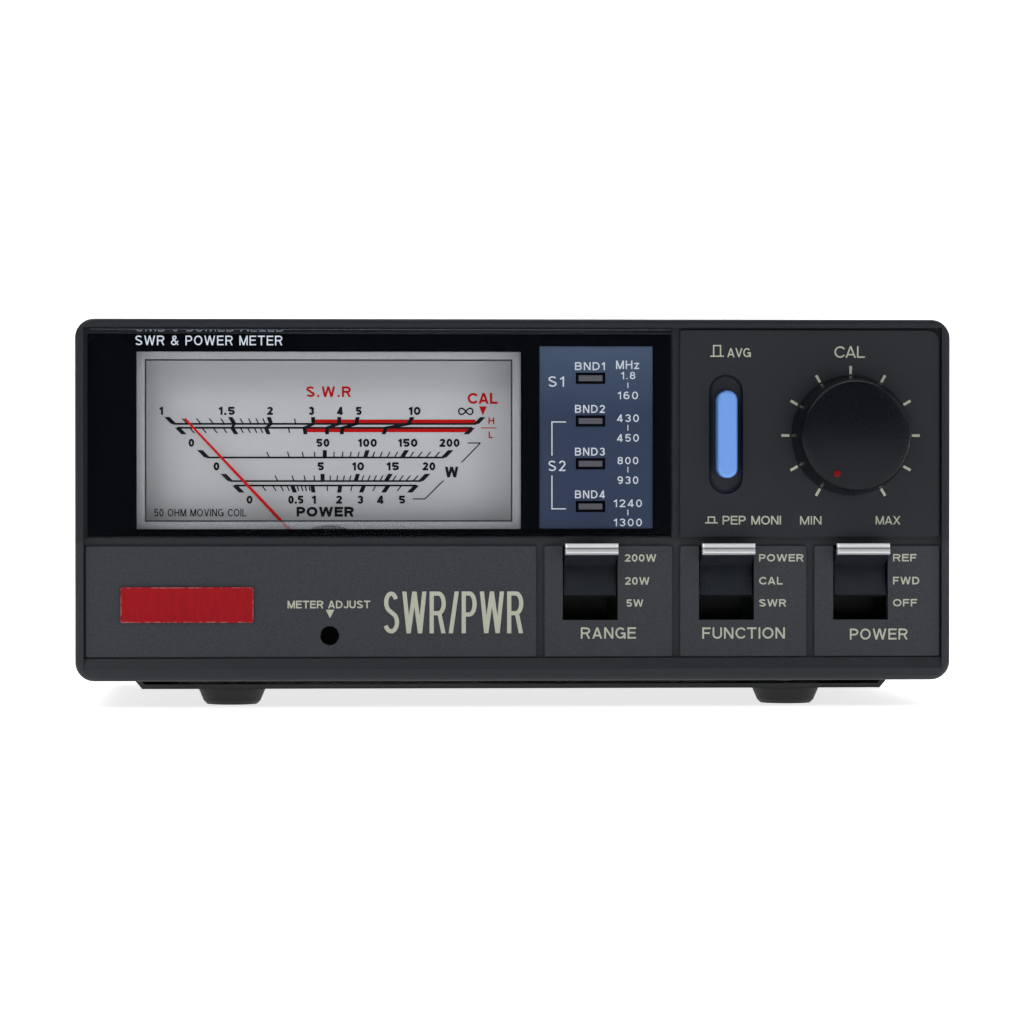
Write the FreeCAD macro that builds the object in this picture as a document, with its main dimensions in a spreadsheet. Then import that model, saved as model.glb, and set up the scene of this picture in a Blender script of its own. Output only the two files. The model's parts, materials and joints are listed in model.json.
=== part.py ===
"""A bench SWR and power meter: two sensors, moving-coil meter, lever switches and coax sockets.

Millimetres. +X is to the right seen from the front, +Z is up, and the front panel faces -Y.
The origin is on the table, under the middle of the case. The sheet below holds every driving size.
"""
import FreeCAD, Part
import math
import os
import re

import Sketcher
from FreeCAD import Rotation, Vector

DIMS = {
    # case
    "case_width": 155,
    "case_top": 68.8,
    "case_base": 4.8,
    "half_depth": 62.2,
    "bezel_front": -54,
    "bezel_back": -46,
    "rear_face": 49,
    "bezel_radius": 3.4,
    "sheet": 0.8,
    "cover_inset": 0.4,
    "pan_base": 3.1,
    "floor_base": 5.2,
    "tray_half": 67.7,
    "tray_slope": 1.8,
    "flange_top": 14,
    # front bezel
    "tile_face": -53.2,
    "groove_floor": -52.3,
    "panel_back": -50.6,
    "rim": 1.5,
    "rim_round": 0.8,
    "rim_gap": 0.2,
    "small_corner": 0.4,
    "tile_bevel": 0.14,
    "big_corner": 2.2,
    "rim_base": 2.1,
    "groove": 1.3,
    "left_edge": -75.75,
    "right_edge": 75.75,
    "lower_base": 8.8,
    "lower_top": 28.7,
    "upper_base": 30.1,
    "upper_top": 67,
    "badge_tile_end": 3.95,
    "range_tile_start": 5.3,
    "range_tile_end": 28.1,
    "function_tile_start": 29.4,
    "function_tile_end": 52,
    "power_tile_start": 53.3,
    "badge_start": -69.5,
    "badge_end": -46.1,
    "badge_base": 15.15,
    "badge_top": 21.4,
    "badge_thick": 0.5,
    # window
    "pane_front": -53.1,
    "pane_back": -52.1,
    "mask_back": -51.9,
    "pane_start": -75.5,
    "pane_end": 28.1,
    "pane_base": 30.2,
    "pane_top": 66.3,
    "hole_start": -68.8,
    "hole_end": 27,
    "hole_base": 30.95,
    "hole_top": 65.5,
    "dial_hole_start": -66.7,
    "dial_hole_end": 1.2,
    "dial_hole_base": 31.65,
    "dial_hole_top": 63,
    "band_hole_start": 4.5,
    "band_hole_end": 24.65,
    "band_hole_base": 31.7,
    "band_hole_top": 64,
    # band indicator
    "band_x": 13.6,
    "band_first": 58.35,
    "band_pitch": 7.58,
    "slot_width": 4.1,
    "slot_height": 1.04,
    "lamp_radius": 1.5,
    "lamp_front": -50.4,
    "lamp_back": -45.4,
    "dial_lamp_front": -31,
    "dial_lamp_z": 47,
    # meter
    "meter_x": -32.65,
    "pivot_height": 23.9,
    "cover_start": -68,
    "cover_end": 2.5,
    "cover_base": 8.4,
    "cover_top": 64.2,
    "cover_front": -50.4,
    "cover_inner": -49.3,
    "plateau": 0.35,
    "clear_start": -65,
    "clear_end": -0.5,
    "clear_base": 33.2,
    "clear_top": 61.4,
    "dial_start": -66.9,
    "dial_end": 1.4,
    "dial_base": 31.4,
    "dial_top": 63.1,
    "dial_face": -44,
    "dial_back": -43.4,
    "meter_back": -25,
    "wall": 1.5,
    "yoke_outer": 8.3,
    "yoke_inner": 6.3,
    "core_radius": 4,
    "core_hole": 1.1,
    "core_front": -43,
    "core_back": -33,
    "coil_reach": 5.8,
    "coil_bar": 1,
    "staff_radius": 0.45,
    "fit_gap": 0.05,
    "bridge_front": -47.6,
    "bridge_back": -46.8,
    "boss_front": -48.5,
    "boss_radius": 1.6,
    "needle_front": -46.2,
    "needle_back": -45.95,
    "spring_front": -45.45,
    "spring_reach": 4,
    "arm_front": -48.2,
    "arm_back": -47.8,
    "needle_reach": 37.5,
    "needle_angle": -43.2,
    "tail_reach": 7,
    "adjuster_height": 12.8,
    "adjuster_radius": 1.55,
    "adjust_hole": 1.7,
    "crank_offset": 1,
    "crank_radius": 0.4,
    # levers
    "slot_base": 15.5,
    "slot_half": 4.9,
    "relief_face": -51.6,
    "range_x": 13.47,
    "function_x": 37.7,
    "power_x": 61.6,
    "lever_y": -38.8,
    "lever_z": 22.1,
    "lever_tilt": 18,
    "lever_reach": 20.2,
    "lever_half": 4.6,
    "lever_thick": 1.8,
    "shield_front": 12.6,
    "shield_thick": 1.2,
    "shield_half": 6.4,
    "cap_depth": 1.1,
    "cap_half": 4.7,
    "cap_thick": 1.86,
    "ear_half": 4.3,
    "ear_thick": 0.9,
    "trunnion": 1,
    "switch_front": -35,
    "board_front": -26,
    "board_thick": 1.6,
    # mode button
    "button_x": 37.6,
    "button_z": 48.4,
    "button_width": 3.5,
    "button_length": 15.5,
    "button_front": -56.7,
    "well_width": 6.06,
    "well_length": 21.2,
    "well_depth": 1.2,
    "well_round": 0.9,
    "button_gap": 0.15,
    "button_travel": 2.5,
    "button_round": 0.6,
    "spring_wire": 0.3,
    "spring_radius": 2.7,
    "mode_front": -44,
    "stem_half": 1.5,
    # calibration knob
    "knob_x": 59.8,
    "knob_z": 48.2,
    "knob_base": 10.65,
    "knob_face": 9.65,
    "knob_back": -53.7,
    "shaft_radius": 3,
    "bushing_radius": 3.5,
    "pot_radius": 8.5,
    "pot_front": -45,
    "pot_back": -34,
    "knob_height": 8.5,
    "knob_skirt": 1.2,
    # feet
    "foot_x": 50,
    "foot_front_y": -36,
    "foot_rear_y": 37,
    "foot_top_radius": 6,
    "foot_low_radius": 5.1,
    "foot_hole": 1.6,
    "foot_well": 2.9,
    "foot_lip": 1.8,
    "foot_bevel": 0.6,
    # fasteners
    "screw_radius": 1.45,
    "screw_head": 2.7,
    "screw_head_height": 1.6,
    "screw_length": 6,
    "boss": 3.2,
    # sockets
    "socket_z": 33,
    "thread_radius": 7.94,
    "flange_half": 12.7,
    "flange_thick": 1.6,
    "socket_bore": 5.9,
    "socket_tail": 44,
    "contact_radius": 2.7,
    "screw_pitch": 9.13,
    "sensor_front": 20,
    "sensor_base": 16,
    "sensor_top": 50,
    "main_board_z": 10.2,
    "post_radius": 2.6,
    "post_inset": 4,
    "post_space": 9,
    "side_screw_z": 10,
    "jack_x": -2,
    "jack_radius": 4,
}

SOCKETS = {"hf_input_socket": -56, "hf_antenna_socket": -24, "uhf_input_socket": 20,
           "uhf_antenna_socket": 52}
DIAL_LAMPS = ("dial_start / 4 * 3", "dial_start / 4")
LEVERS = {"range": "range_x", "function": "function_x", "power": "power_x"}
FEET = {
    "foot_front_left": ("-foot_x", "foot_front_y"),
    "foot_front_right": ("foot_x", "foot_front_y"),
    "foot_rear_left": ("-foot_x", "foot_rear_y"),
    "foot_rear_right": ("foot_x", "foot_rear_y"),
}

doc = FreeCAD.newDocument("swr_meter")
sheet = doc.addObject("Spreadsheet::Sheet", "dims")
for row, (alias, value) in enumerate(DIMS.items(), start=1):
    sheet.set(f"A{row}", alias)
    sheet.set(f"B{row}", str(value))
    sheet.setAlias(f"B{row}", alias)
doc.recompute()

parts = []


# ---------------------------------------------------------------- helpers

def link(text):
    """The expression with every name read from the sheet."""
    return re.sub(r"[a-z][a-z_]*", lambda word: "dims." + word.group(0), str(text))


def size(text):
    """The value of an expression of sheet names, for the pieces that Part makes directly."""
    return cell_value(link(text))


def cell_value(expression):
    value = sheet.evalExpression(expression)
    return float(getattr(value, "Value", value))


def bind(item, **rules):
    """Tie the properties of an object to the sheet. Double underscores stand for dots."""
    for name, text in rules.items():
        item.setExpression(name.replace("__", "."), link(text))
    return item


def place(item, x=0, y=0, z=0):
    return bind(item, Placement__Base__x=x, Placement__Base__y=y, Placement__Base__z=z)


def box(x, y, z):
    """A box between two expressions along each axis."""
    item = doc.addObject("Part::Box", "box")
    (x0, x1), (y0, y1), (z0, z1) = x, y, z
    bind(item, Length=f"({x1}) - ({x0})", Width=f"({y1}) - ({y0})", Height=f"({z1}) - ({z0})")
    return place(item, x0, y0, z0)


def rod(radius, x, y, z):
    """A cylinder along the one axis that is given as a pair of expressions."""
    item = doc.addObject("Part::Cylinder", "rod")
    spans = {"x": x, "y": y, "z": z}
    axis = next(name for name, span in spans.items() if isinstance(span, tuple))
    low, high = spans[axis]
    turn = {"x": Rotation(Vector(0, 1, 0), 90), "y": Rotation(Vector(1, 0, 0), -90), "z": Rotation()}
    item.Placement = FreeCAD.Placement(Vector(), turn[axis])
    bind(item, Radius=radius, Height=f"({high}) - ({low})")
    spans[axis] = low
    return place(item, **spans)


def fuse(*items):
    joined = doc.addObject("Part::MultiFuse", "joined")
    joined.Shapes = list(items)
    return joined


def cut(base, *tools):
    result = doc.addObject("Part::Cut", "shaped")
    result.Base = base
    result.Tool = tools[0] if len(tools) == 1 else fuse(*tools)
    return result


def group(*items):
    """Separate solids that share one node."""
    bunch = doc.addObject("Part::Compound", "group")
    bunch.Links = list(items)
    return bunch


def keep(name, item):
    item.Label = name
    parts.append(item)
    return item


def body(name):
    return keep(name, doc.addObject("PartDesign::Body", name))


def sketch(owner, role, offset="0"):
    """A sketch on one of the body's own planes, moved along the plane's normal."""
    drawing = owner.newObject("Sketcher::SketchObject", "drawing")
    plane = next(item for item in owner.Origin.OriginFeatures if item.Role == role)
    drawing.AttachmentSupport = [(plane, "")]
    drawing.MapMode = "FlatFace"
    bind(drawing, AttachmentOffset__Base__z=offset)
    return drawing


def dimension(drawing, kind, edge, point, text):
    value = size(text)
    index = drawing.addConstraint(Sketcher.Constraint(kind, -1, 1, edge, point, value))
    drawing.setExpression(f"Constraints[{index}]", link(text))


def outline(drawing, points):
    """A closed outline of straight edges, each corner placed by the sheet."""
    spots = [Vector(size(x), size(z), 0) for x, z in points]
    count = len(spots)
    edges = [drawing.addGeometry(Part.LineSegment(spots[i], spots[(i + 1) % count])) for i in range(count)]
    for i in range(count):
        drawing.addConstraint(Sketcher.Constraint("Coincident", edges[i], 2, edges[(i + 1) % count], 1))
    for edge, (x, z) in zip(edges, points):
        dimension(drawing, "DistanceX", edge, 1, x)
        dimension(drawing, "DistanceY", edge, 1, z)


def window(drawing, x, z):
    (x0, x1), (z0, z1) = x, z
    outline(drawing, [(x0, z0), (x1, z0), (x1, z1), (x0, z1)])


def circle(drawing, x, z, radius):
    ring = drawing.addGeometry(Part.Circle(Vector(size(x), size(z), 0), Vector(0, 0, 1), size(radius)))
    dimension(drawing, "DistanceX", ring, 3, x)
    dimension(drawing, "DistanceY", ring, 3, z)
    index = drawing.addConstraint(Sketcher.Constraint("Radius", ring, size(radius)))
    drawing.setExpression(f"Constraints[{index}]", link(radius))


def obround(drawing, x, z, width, length):
    """An upright slot shape with round ends."""
    half = size(width) / 2
    rise = size(length) / 2 - half
    middle = Vector(size(x), size(z), 0)
    up, down, side = Vector(0, rise, 0), Vector(0, -rise, 0), Vector(half, 0, 0)
    top = Part.Arc(middle + up + side, middle + up + Vector(0, half, 0), middle + up - side)
    base = Part.Arc(middle + down - side, middle + down - Vector(0, half, 0), middle + down + side)
    left = Part.LineSegment(middle + up - side, middle + down - side)
    right = Part.LineSegment(middle + down + side, middle + up + side)
    drawing.addGeometry([top, left, base, right])
    for first, second in ((0, 1), (1, 2), (2, 3), (3, 0)):
        drawing.addConstraint(Sketcher.Constraint("Coincident", first, 2, second, 1))


def grow(owner, kind, drawing, length, back=True):
    """A pad or pocket that runs towards the back of the case, or towards the front."""
    before = owner.Shape.Volume if kind == "Pocket" else 0
    feature = owner.newObject("PartDesign::" + kind, kind)
    feature.Profile = drawing
    bind(feature, Length=length)
    feature.Reversed = back if kind == "Pad" else not back
    doc.recompute()
    if kind == "Pocket" and owner.Shape.Volume > before - 1e-6:
        raise RuntimeError(f"{owner.Label}: a pocket cuts nothing")
    return feature


def plate(owner, x, z, front, back):
    """A rectangular pad from one depth to another."""
    drawing = sketch(owner, "XZ_Plane", f"-({front})")
    window(drawing, x, z)
    return grow(owner, "Pad", drawing, f"({back}) - ({front})")


def recess(owner, x, z, front, back):
    drawing = sketch(owner, "XZ_Plane", f"-({front})")
    window(drawing, x, z)
    return grow(owner, "Pocket", drawing, f"({back}) - ({front})")


def round_edges(owner, test, radius, name="Fillet"):
    """Round or bevel the edges of the last feature that pass the test."""
    doc.recompute()
    last = owner.Tip
    edges = [f"Edge{i}" for i, edge in enumerate(last.Shape.Edges, start=1) if test(edge)]
    feature = owner.newObject("PartDesign::" + name, name)
    feature.Base = (last, edges)
    bind(feature, **{"Radius" if name == "Fillet" else "Size": radius})
    doc.recompute()
    return feature


def runs_along_y(edge):
    if len(edge.Vertexes) != 2:
        return False
    first, second = (vertex.Point for vertex in edge.Vertexes)
    return abs(first.x - second.x) < 1e-4 and abs(first.z - second.z) < 1e-4


def turned(name, points, x, y, z, direction):
    """A turned piece: (radius, station) points spun about Z, then stood on x, y, z along the direction."""
    owner = body(name)
    drawing = sketch(owner, "XZ_Plane")
    outline(drawing, points)
    spin = owner.newObject("PartDesign::Revolution", "Spin")
    spin.Profile = drawing
    spin.ReferenceAxis = (drawing, ["V_Axis"])
    spin.Angle = 360
    doc.recompute()
    owner.Placement = FreeCAD.Placement(Vector(), Rotation(Vector(0, 0, 1), direction))
    place(owner, x, y, z)
    return owner


def cap_screw(x, y, z, direction):
    """A pan-head screw whose head sits at the point and whose thread runs along the direction."""
    head = doc.addObject("Part::Cylinder", "head")
    bind(head, Radius="screw_head", Height="screw_head_height")
    shank = doc.addObject("Part::Cylinder", "shank")
    bind(shank, Radius="screw_radius", Height="screw_length + screw_head_height")
    drive = doc.addObject("Part::Prism", "drive")
    drive.Polygon = 6
    bind(drive, Circumradius="screw_radius * 0.8", Height="screw_head_height * 0.6")
    whole = cut(fuse(head, shank), drive)
    whole.Placement = FreeCAD.Placement(Vector(), Rotation(Vector(0, 0, 1), direction))
    return place(whole, x, y, z)


# ---------------------------------------------------------------- front panel

def front_bezel():
    """The moulded front: a rim around raised tiles, with openings for the pane and the controls."""
    bezel = body("front_bezel")
    half = "case_width / 2"
    inner = (f"rim - {half}", f"{half} - rim")
    plate(bezel, (f"-{half}", half), ("case_base", "case_top"), "bezel_front", "bezel_back")
    round_edges(bezel, runs_along_y, "bezel_radius")

    def outer_front(edge):
        bounds = edge.BoundBox
        return abs(bounds.YMin - size("bezel_front")) < 1e-4 and abs(bounds.YMax - size("bezel_front")) < 1e-4

    round_edges(bezel, outer_front, "rim_round")
    recess(bezel, inner, ("lower_base", "case_top - rim"), "bezel_front", "tile_face")
    recess(bezel, inner, ("case_base + rim_base", "case_top - rim"), "panel_back", "bezel_back")

    slope = sketch(bezel, "YZ_Plane")
    crest = "case_base + rim_base"
    outline(slope, [("bezel_front - rim", crest), ("bezel_front", crest), ("tile_face", "lower_base"),
                    ("bezel_front - rim", "lower_base")])
    ramp = bezel.newObject("PartDesign::Pocket", "Slope")
    ramp.Profile = slope
    ramp.Midplane = True
    bind(ramp, Length=f"2 * ({half} - rim)")
    doc.recompute()

    grooves = sketch(bezel, "XZ_Plane", "-tile_face")
    window(grooves, inner, ("lower_base", "case_top - rim"))
    low, high = ("lower_base + rim_gap", "lower_top"), ("upper_base", "upper_top")
    window(grooves, ("left_edge", "badge_tile_end"), low)
    window(grooves, ("range_tile_start", "range_tile_end"), low)
    window(grooves, ("function_tile_start", "function_tile_end"), low)
    window(grooves, ("power_tile_start", "right_edge"), low)
    window(grooves, ("function_tile_start", "right_edge"), high)
    window(grooves, ("pane_start - rim_gap", "pane_end"), ("pane_base", "pane_top"))
    grow(bezel, "Pocket", grooves, "groove_floor - tile_face")

    def tile_corner(edge):
        return runs_along_y(edge) and abs(edge.Length - size("groove_floor - tile_face")) < 1e-4

    def big_corner(edge):
        corner = Vector(size("right_edge"), 0, size("upper_top"))
        spot = edge.Vertexes[0].Point
        return tile_corner(edge) and Vector(spot.x - corner.x, 0, spot.z - corner.z).Length < 1e-3

    def small_corner(edge):
        spot = edge.Vertexes[0].Point
        across = size("left_edge") - 0.2 < spot.x < size("right_edge") + 1e-3
        up = size("lower_base") - 1e-3 < spot.z < size("upper_top") + 1e-3
        return tile_corner(edge) and not big_corner(edge) and across and up

    round_edges(bezel, small_corner, "small_corner")
    round_edges(bezel, big_corner, "big_corner")

    def tile_rim(edge):
        bounds = edge.BoundBox
        on_face = abs(bounds.YMin - size("tile_face")) < 1e-4 and abs(bounds.YMax - size("tile_face")) < 1e-4
        inside = bounds.XMin > size("left_edge") - 1e-3 and bounds.XMax < size("right_edge") + 1e-3
        above = bounds.ZMin > size("lower_base") + 0.1 and bounds.ZMax < size("upper_top") + 1e-3
        beside_pane = bounds.ZMin > size("upper_base") and bounds.XMax < size("function_tile_start") - 1
        return on_face and inside and above and not beside_pane

    round_edges(bezel, tile_rim, "tile_bevel", "Chamfer")

    recess(bezel, ("pane_start - rim_gap", "pane_end + rim_gap / 2"),
           ("pane_base - rim_gap / 2", "pane_top + rim_gap"),
           "tile_face", "mask_back")
    recess(bezel, ("hole_start", "hole_end"), ("hole_base", "hole_top"), "mask_back", "panel_back")
    for x in LEVERS.values():
        recess(bezel, (f"{x} - slot_half", f"{x} + slot_half"), ("slot_base", "lower_top"), "tile_face",
               "panel_back")
        recess(bezel, (f"{x} - slot_half - 1", f"{x} + slot_half + 1"), ("slot_base - 2", "lower_top + 2"),
               "relief_face", "panel_back")
    bosses = sketch(bezel, "XZ_Plane", "-panel_back")
    for x, z in bezel_screw_spots():
        circle(bosses, x, z, "boss")
    grow(bezel, "Pad", bosses, "bezel_back - panel_back")
    threads = sketch(bezel, "XZ_Plane", "-(panel_back - groove / 2)")
    for x, z in bezel_screw_spots():
        circle(threads, x, z, "screw_radius + 0.02")
    grow(bezel, "Pocket", threads, "bezel_back - panel_back + groove / 2")
    well = sketch(bezel, "XZ_Plane", "-tile_face")
    obround(well, "button_x", "button_z", "well_width", "well_length")
    grow(bezel, "Pocket", well, "well_depth")

    def well_floor(edge):
        bounds = edge.BoundBox
        floor = size("tile_face + well_depth")
        return abs(bounds.YMin - floor) < 1e-4 and abs(bounds.YMax - floor) < 1e-4

    round_edges(bezel, well_floor, "well_round")
    way = sketch(bezel, "XZ_Plane", "-tile_face")
    obround(way, "button_x", "button_z", "button_width + 2 * button_gap", "button_length + 2 * button_gap")
    grow(bezel, "Pocket", way, "panel_back - tile_face")
    holes = sketch(bezel, "XZ_Plane", "-tile_face")
    circle(holes, "knob_x", "knob_z", "bushing_radius + 1")
    circle(holes, "meter_x", "adjuster_height", "adjust_hole")
    grow(bezel, "Pocket", holes, "panel_back - tile_face")
    return bezel


def badge():
    """The plain raised badge on the lower left tile."""
    owner = body("red_badge")
    plate(owner, ("badge_start", "badge_end"), ("badge_base", "badge_top"), "tile_face - badge_thick",
          "tile_face")
    round_edges(owner, runs_along_y, "small_corner")


def window_parts():
    """The clear pane, the black mask behind it and the blue band panel with its lit slots."""
    pane = body("window_pane")
    plate(pane, ("pane_start", "pane_end"), ("pane_base", "pane_top"), "pane_front", "pane_back")

    def outer_corner(edge):
        return runs_along_y(edge) and edge.Vertexes[0].Point.x < 0 and edge.Vertexes[0].Point.z > 60

    round_edges(pane, outer_corner, "big_corner")

    mask = body("window_mask")
    plate(mask, ("pane_start + rim_gap", "pane_end - rim_gap"), ("pane_base + rim_gap", "pane_top - rim_gap"),
          "pane_back", "mask_back")
    recess(mask, ("dial_hole_start", "dial_hole_end"), ("dial_hole_base", "dial_hole_top"), "pane_back",
           "mask_back")
    recess(mask, ("band_hole_start", "band_hole_end"), ("band_hole_base", "band_hole_top"), "pane_back",
           "mask_back")

    panel = body("band_panel")
    front, back = "mask_back + fit_gap", "mask_back + sheet"
    plate(panel, ("band_hole_start - rim + 0.1", "hole_end - 0.1"), ("hole_base + 0.1", "hole_top - 0.1"),
          front, back)
    slots = [f"band_first - {i} * band_pitch" for i in range(4)]
    for z in slots:
        recess(panel, ("band_x - slot_width / 2", "band_x + slot_width / 2"),
               (f"{z} - slot_height / 2", f"{z} + slot_height / 2"), front, back)
    inserts = [
        box(("band_x - slot_width / 2", "band_x + slot_width / 2"), (front, back),
            (f"{z} - slot_height / 2", f"{z} + slot_height / 2"))
        for z in slots
    ]
    keep("led_windows", group(*inserts))

    places = [("band_x", z, "lamp_front", "lamp_back") for z in slots]
    places += [(x, "dial_lamp_z", "dial_lamp_front", "meter_back") for x in DIAL_LAMPS]
    lamps = []
    for x, z, front_end, back_end in places:
        stem = rod("lamp_radius", x, (f"{front_end} + lamp_radius", back_end), z)
        dome = doc.addObject("Part::Sphere", "dome")
        bind(dome, Radius="lamp_radius")
        place(dome, x, f"{front_end} + lamp_radius", z)
        lamps.append(fuse(stem, dome))
    keep("led_lamps", group(*lamps))


# ---------------------------------------------------------------- meter

def meter_shell():
    """The clear cover and the case that it closes, with the dial on the case's ledge."""
    outer = box(("cover_start", "cover_end"), ("cover_front", "bezel_back"), ("cover_base", "cover_top"))
    inside = box(("dial_start", "dial_end"), ("cover_inner", "bezel_back"),
                 ("cover_base + wall", "dial_top"))
    bevel = box(("clear_start", "clear_end"), ("cover_front - plateau", "cover_front"),
                ("clear_base", "clear_top"))
    hole = rod("adjuster_radius + fit_gap", "meter_x", ("cover_front", "cover_inner"), "adjuster_height")
    keep("meter_cover", cut(fuse(outer, bevel), inside, hole))

    shell = box(("cover_start + 0.4", "cover_end - 0.4"), ("bezel_back", "meter_back"),
                ("cover_base + 0.5", "cover_top - 0.4"))
    seat = box(("dial_start - fit_gap", "dial_end + fit_gap"), ("bezel_back", "dial_back"),
               ("dial_base - fit_gap", "dial_top + fit_gap"))
    light = box(("dial_start + 1", "dial_end - 1"), ("dial_back", "meter_back - wall"),
                ("dial_base + 5", "dial_top - 1"))
    works = box(("meter_x - 13", "meter_x + 13"), ("bezel_back", "meter_back - wall"),
                ("cover_base + 2 * wall", "dial_base + 2"))
    post = rod("yoke_outer - 0.3", "meter_x", ("core_back", "meter_back - wall"), "pivot_height")
    bearing = rod("staff_radius + fit_gap", "meter_x", ("core_back", "meter_back - 0.5"), "pivot_height")
    swing = rod("yoke_inner", "meter_x", ("core_back", "meter_back - 4 * wall"), "pivot_height")
    lamps = [
        rod("lamp_radius + 0.1", x, ("meter_back - wall - 1", "meter_back"), "dial_lamp_z")
        for x in DIAL_LAMPS
    ]
    keep("meter_case", cut(fuse(cut(shell, seat, light, works), cut(post, swing)), bearing, *lamps))

    dial = body("dial_plate")
    plate(dial, ("dial_start", "dial_end"), ("dial_base", "dial_top"), "dial_face", "dial_back")
    room = sketch(dial, "XZ_Plane", "-dial_face")
    circle(room, "meter_x", "pivot_height", "yoke_outer + 0.1")
    grow(dial, "Pocket", room, "dial_back - dial_face")


def meter_magnet():
    """The iron ring, the core on its two webs and the round bridge that carries the front pivot."""
    spot = ("meter_x", "pivot_height")
    depth = ("core_front", "core_back")
    ring = rod("yoke_outer", spot[0], depth, spot[1])
    keep("meter_yoke", cut(ring, rod("yoke_inner", spot[0], depth, spot[1])))

    core = rod("core_radius", spot[0], depth, spot[1])
    web = box(("meter_x - 1.2", "meter_x + 1.2"), depth,
              ("pivot_height - yoke_inner + 0.15", "pivot_height + yoke_inner - 0.15"))
    keep("meter_core", cut(fuse(core, web), rod("core_hole", spot[0], depth, spot[1])))

    disc = rod("yoke_outer", spot[0], ("bridge_front", "bridge_back"), spot[1])
    boss = rod("boss_radius", spot[0], ("boss_front", "bridge_front"), spot[1])
    legs = [
        box((f"meter_x + {side} * yoke_inner - 0.6", f"meter_x + {side} * yoke_inner + 0.6"),
            ("bridge_back", "core_front"), ("pivot_height - 1.5", "pivot_height + 1.5"))
        for side in ("(-1.12)", "1.12")
    ]
    jewel = rod("staff_radius + fit_gap", spot[0], ("boss_front + 0.3", "bridge_back"), spot[1])
    keep("meter_bridge", cut(fuse(disc, boss, *legs), jewel))


def meter_movement():
    """What turns: staff, coil, hairspring and the pointer with its balance tail."""
    spot = ("meter_x", "pivot_height")
    keep("coil_staff", rod("staff_radius", spot[0], ("boss_front + 0.35", "meter_back - 0.6"), spot[1]))

    frame = box(("-coil_reach", "coil_reach"), ("core_front - 1.6", "core_back + 1.6"), ("-0.9", "0.9"))
    space = box(("coil_bar - coil_reach", "coil_reach - coil_bar"), ("core_front - 0.6", "core_back + 0.6"),
                ("-0.9", "0.9"))
    bore = rod("staff_radius", "0", ("core_front - 1.6", "core_back + 1.6"), "0")
    keep("moving_coil", pointer_turn(cut(frame, space, bore)))

    hub = rod("1.3", "0", ("needle_front - 0.3", "needle_back + 0.3"), "0")
    blade = doc.addObject("Part::Wedge", "blade")
    bind(blade, Xmin="-0.34", Xmax="0.34", X2min="-0.19", X2max="0.19", Ymin="0", Ymax="needle_reach",
         Zmin="0", Zmax="needle_back - needle_front", Z2min="0", Z2max="needle_back - needle_front")
    blade.Placement = FreeCAD.Placement(Vector(), Rotation(Vector(1, 0, 0), 90))
    place(blade, 0, "needle_back", 0)
    tail = box(("-0.35", "0.35"), ("needle_front", "needle_back"), ("-tail_reach", "0"))
    weight = rod("1", "0", ("needle_front - 0.2", "needle_back + 0.2"), "-tail_reach + 0.6")
    bore = rod("staff_radius", "0", ("needle_front - 1", "needle_back + 1"), "0")
    keep("needle", pointer_turn(cut(fuse(hub, blade, tail, weight), bore)))

    spring = doc.addObject("Part::Feature", "spiral")
    spring.Shape = hair_spiral(size("staff_radius"), size("spring_reach"), turns=5)
    keep("hairspring", place(spring, spot[0], "spring_front", spot[1]))


def pointer_turn(item):
    """Turn a piece of the movement, drawn upright on its axis, to where the pointer rests."""
    item.Placement = FreeCAD.Placement(Vector(), Rotation(Vector(0, 1, 0), size("needle_angle")))
    return place(item, "meter_x", 0, "pivot_height")


def hair_spiral(start, end, turns):
    """A flat spiral ribbon about the Y axis, with its inner end round the staff."""
    steps = 8 * turns
    ribbon, depth = 0.12, 0.3
    rails = []
    for shift in (0, ribbon):
        spots = []
        for i in range(steps + 1):
            angle = 2 * math.pi * turns * i / steps
            radius = start + shift + (end - start) * i / steps
            spots.append(Vector(radius * math.cos(angle), 0, radius * math.sin(angle)))
        curve = Part.BSplineCurve()
        curve.interpolate(spots)
        rails.append(curve.toShape())
    inner, outer = rails
    caps = [Part.makeLine(inner.Vertexes[i].Point, outer.Vertexes[i].Point) for i in (0, -1)]
    face = Part.Face(Part.Wire(Part.__sortEdges__([inner, outer, *caps])))
    return face.extrude(Vector(0, depth, 0))


def zero_set():
    """The zero screw seen through the panel and the forked arm that its crank pin moves."""
    at = ("meter_x", "adjuster_height")
    head = rod("adjuster_radius", at[0], ("cover_front - 0.15", "cover_inner + fit_gap"), at[1])
    collar = rod("adjuster_radius + 1", at[0], ("cover_inner + fit_gap", "cover_inner + 0.75"), at[1])
    pin = rod("crank_radius", at[0], ("cover_inner + 0.75", "arm_back + 0.4"), f"{at[1]} + crank_offset")
    slot = box(("meter_x - 0.3", "meter_x + 0.3"), ("cover_front - 0.15", "cover_front + 0.4"),
               ("adjuster_height - 1.3", "adjuster_height + 1.3"))
    keep("zero_adjuster", cut(fuse(head, collar, pin), slot))

    depth = ("arm_front", "arm_back")
    ring = rod("boss_radius + 1.4", "meter_x", depth, "pivot_height")
    strip = box(("meter_x - 1.3", "meter_x + 1.3"), depth, ("adjuster_height", "pivot_height"))
    eye = rod("boss_radius + fit_gap", "meter_x", depth, "pivot_height")
    fork = box(("meter_x - crank_radius - 0.07", "meter_x + crank_radius + 0.07"), depth,
               ("adjuster_height", "adjuster_height + crank_offset + 1.2"))
    keep("zero_arm", cut(fuse(ring, strip), eye, fork))


# ---------------------------------------------------------------- controls

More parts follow.
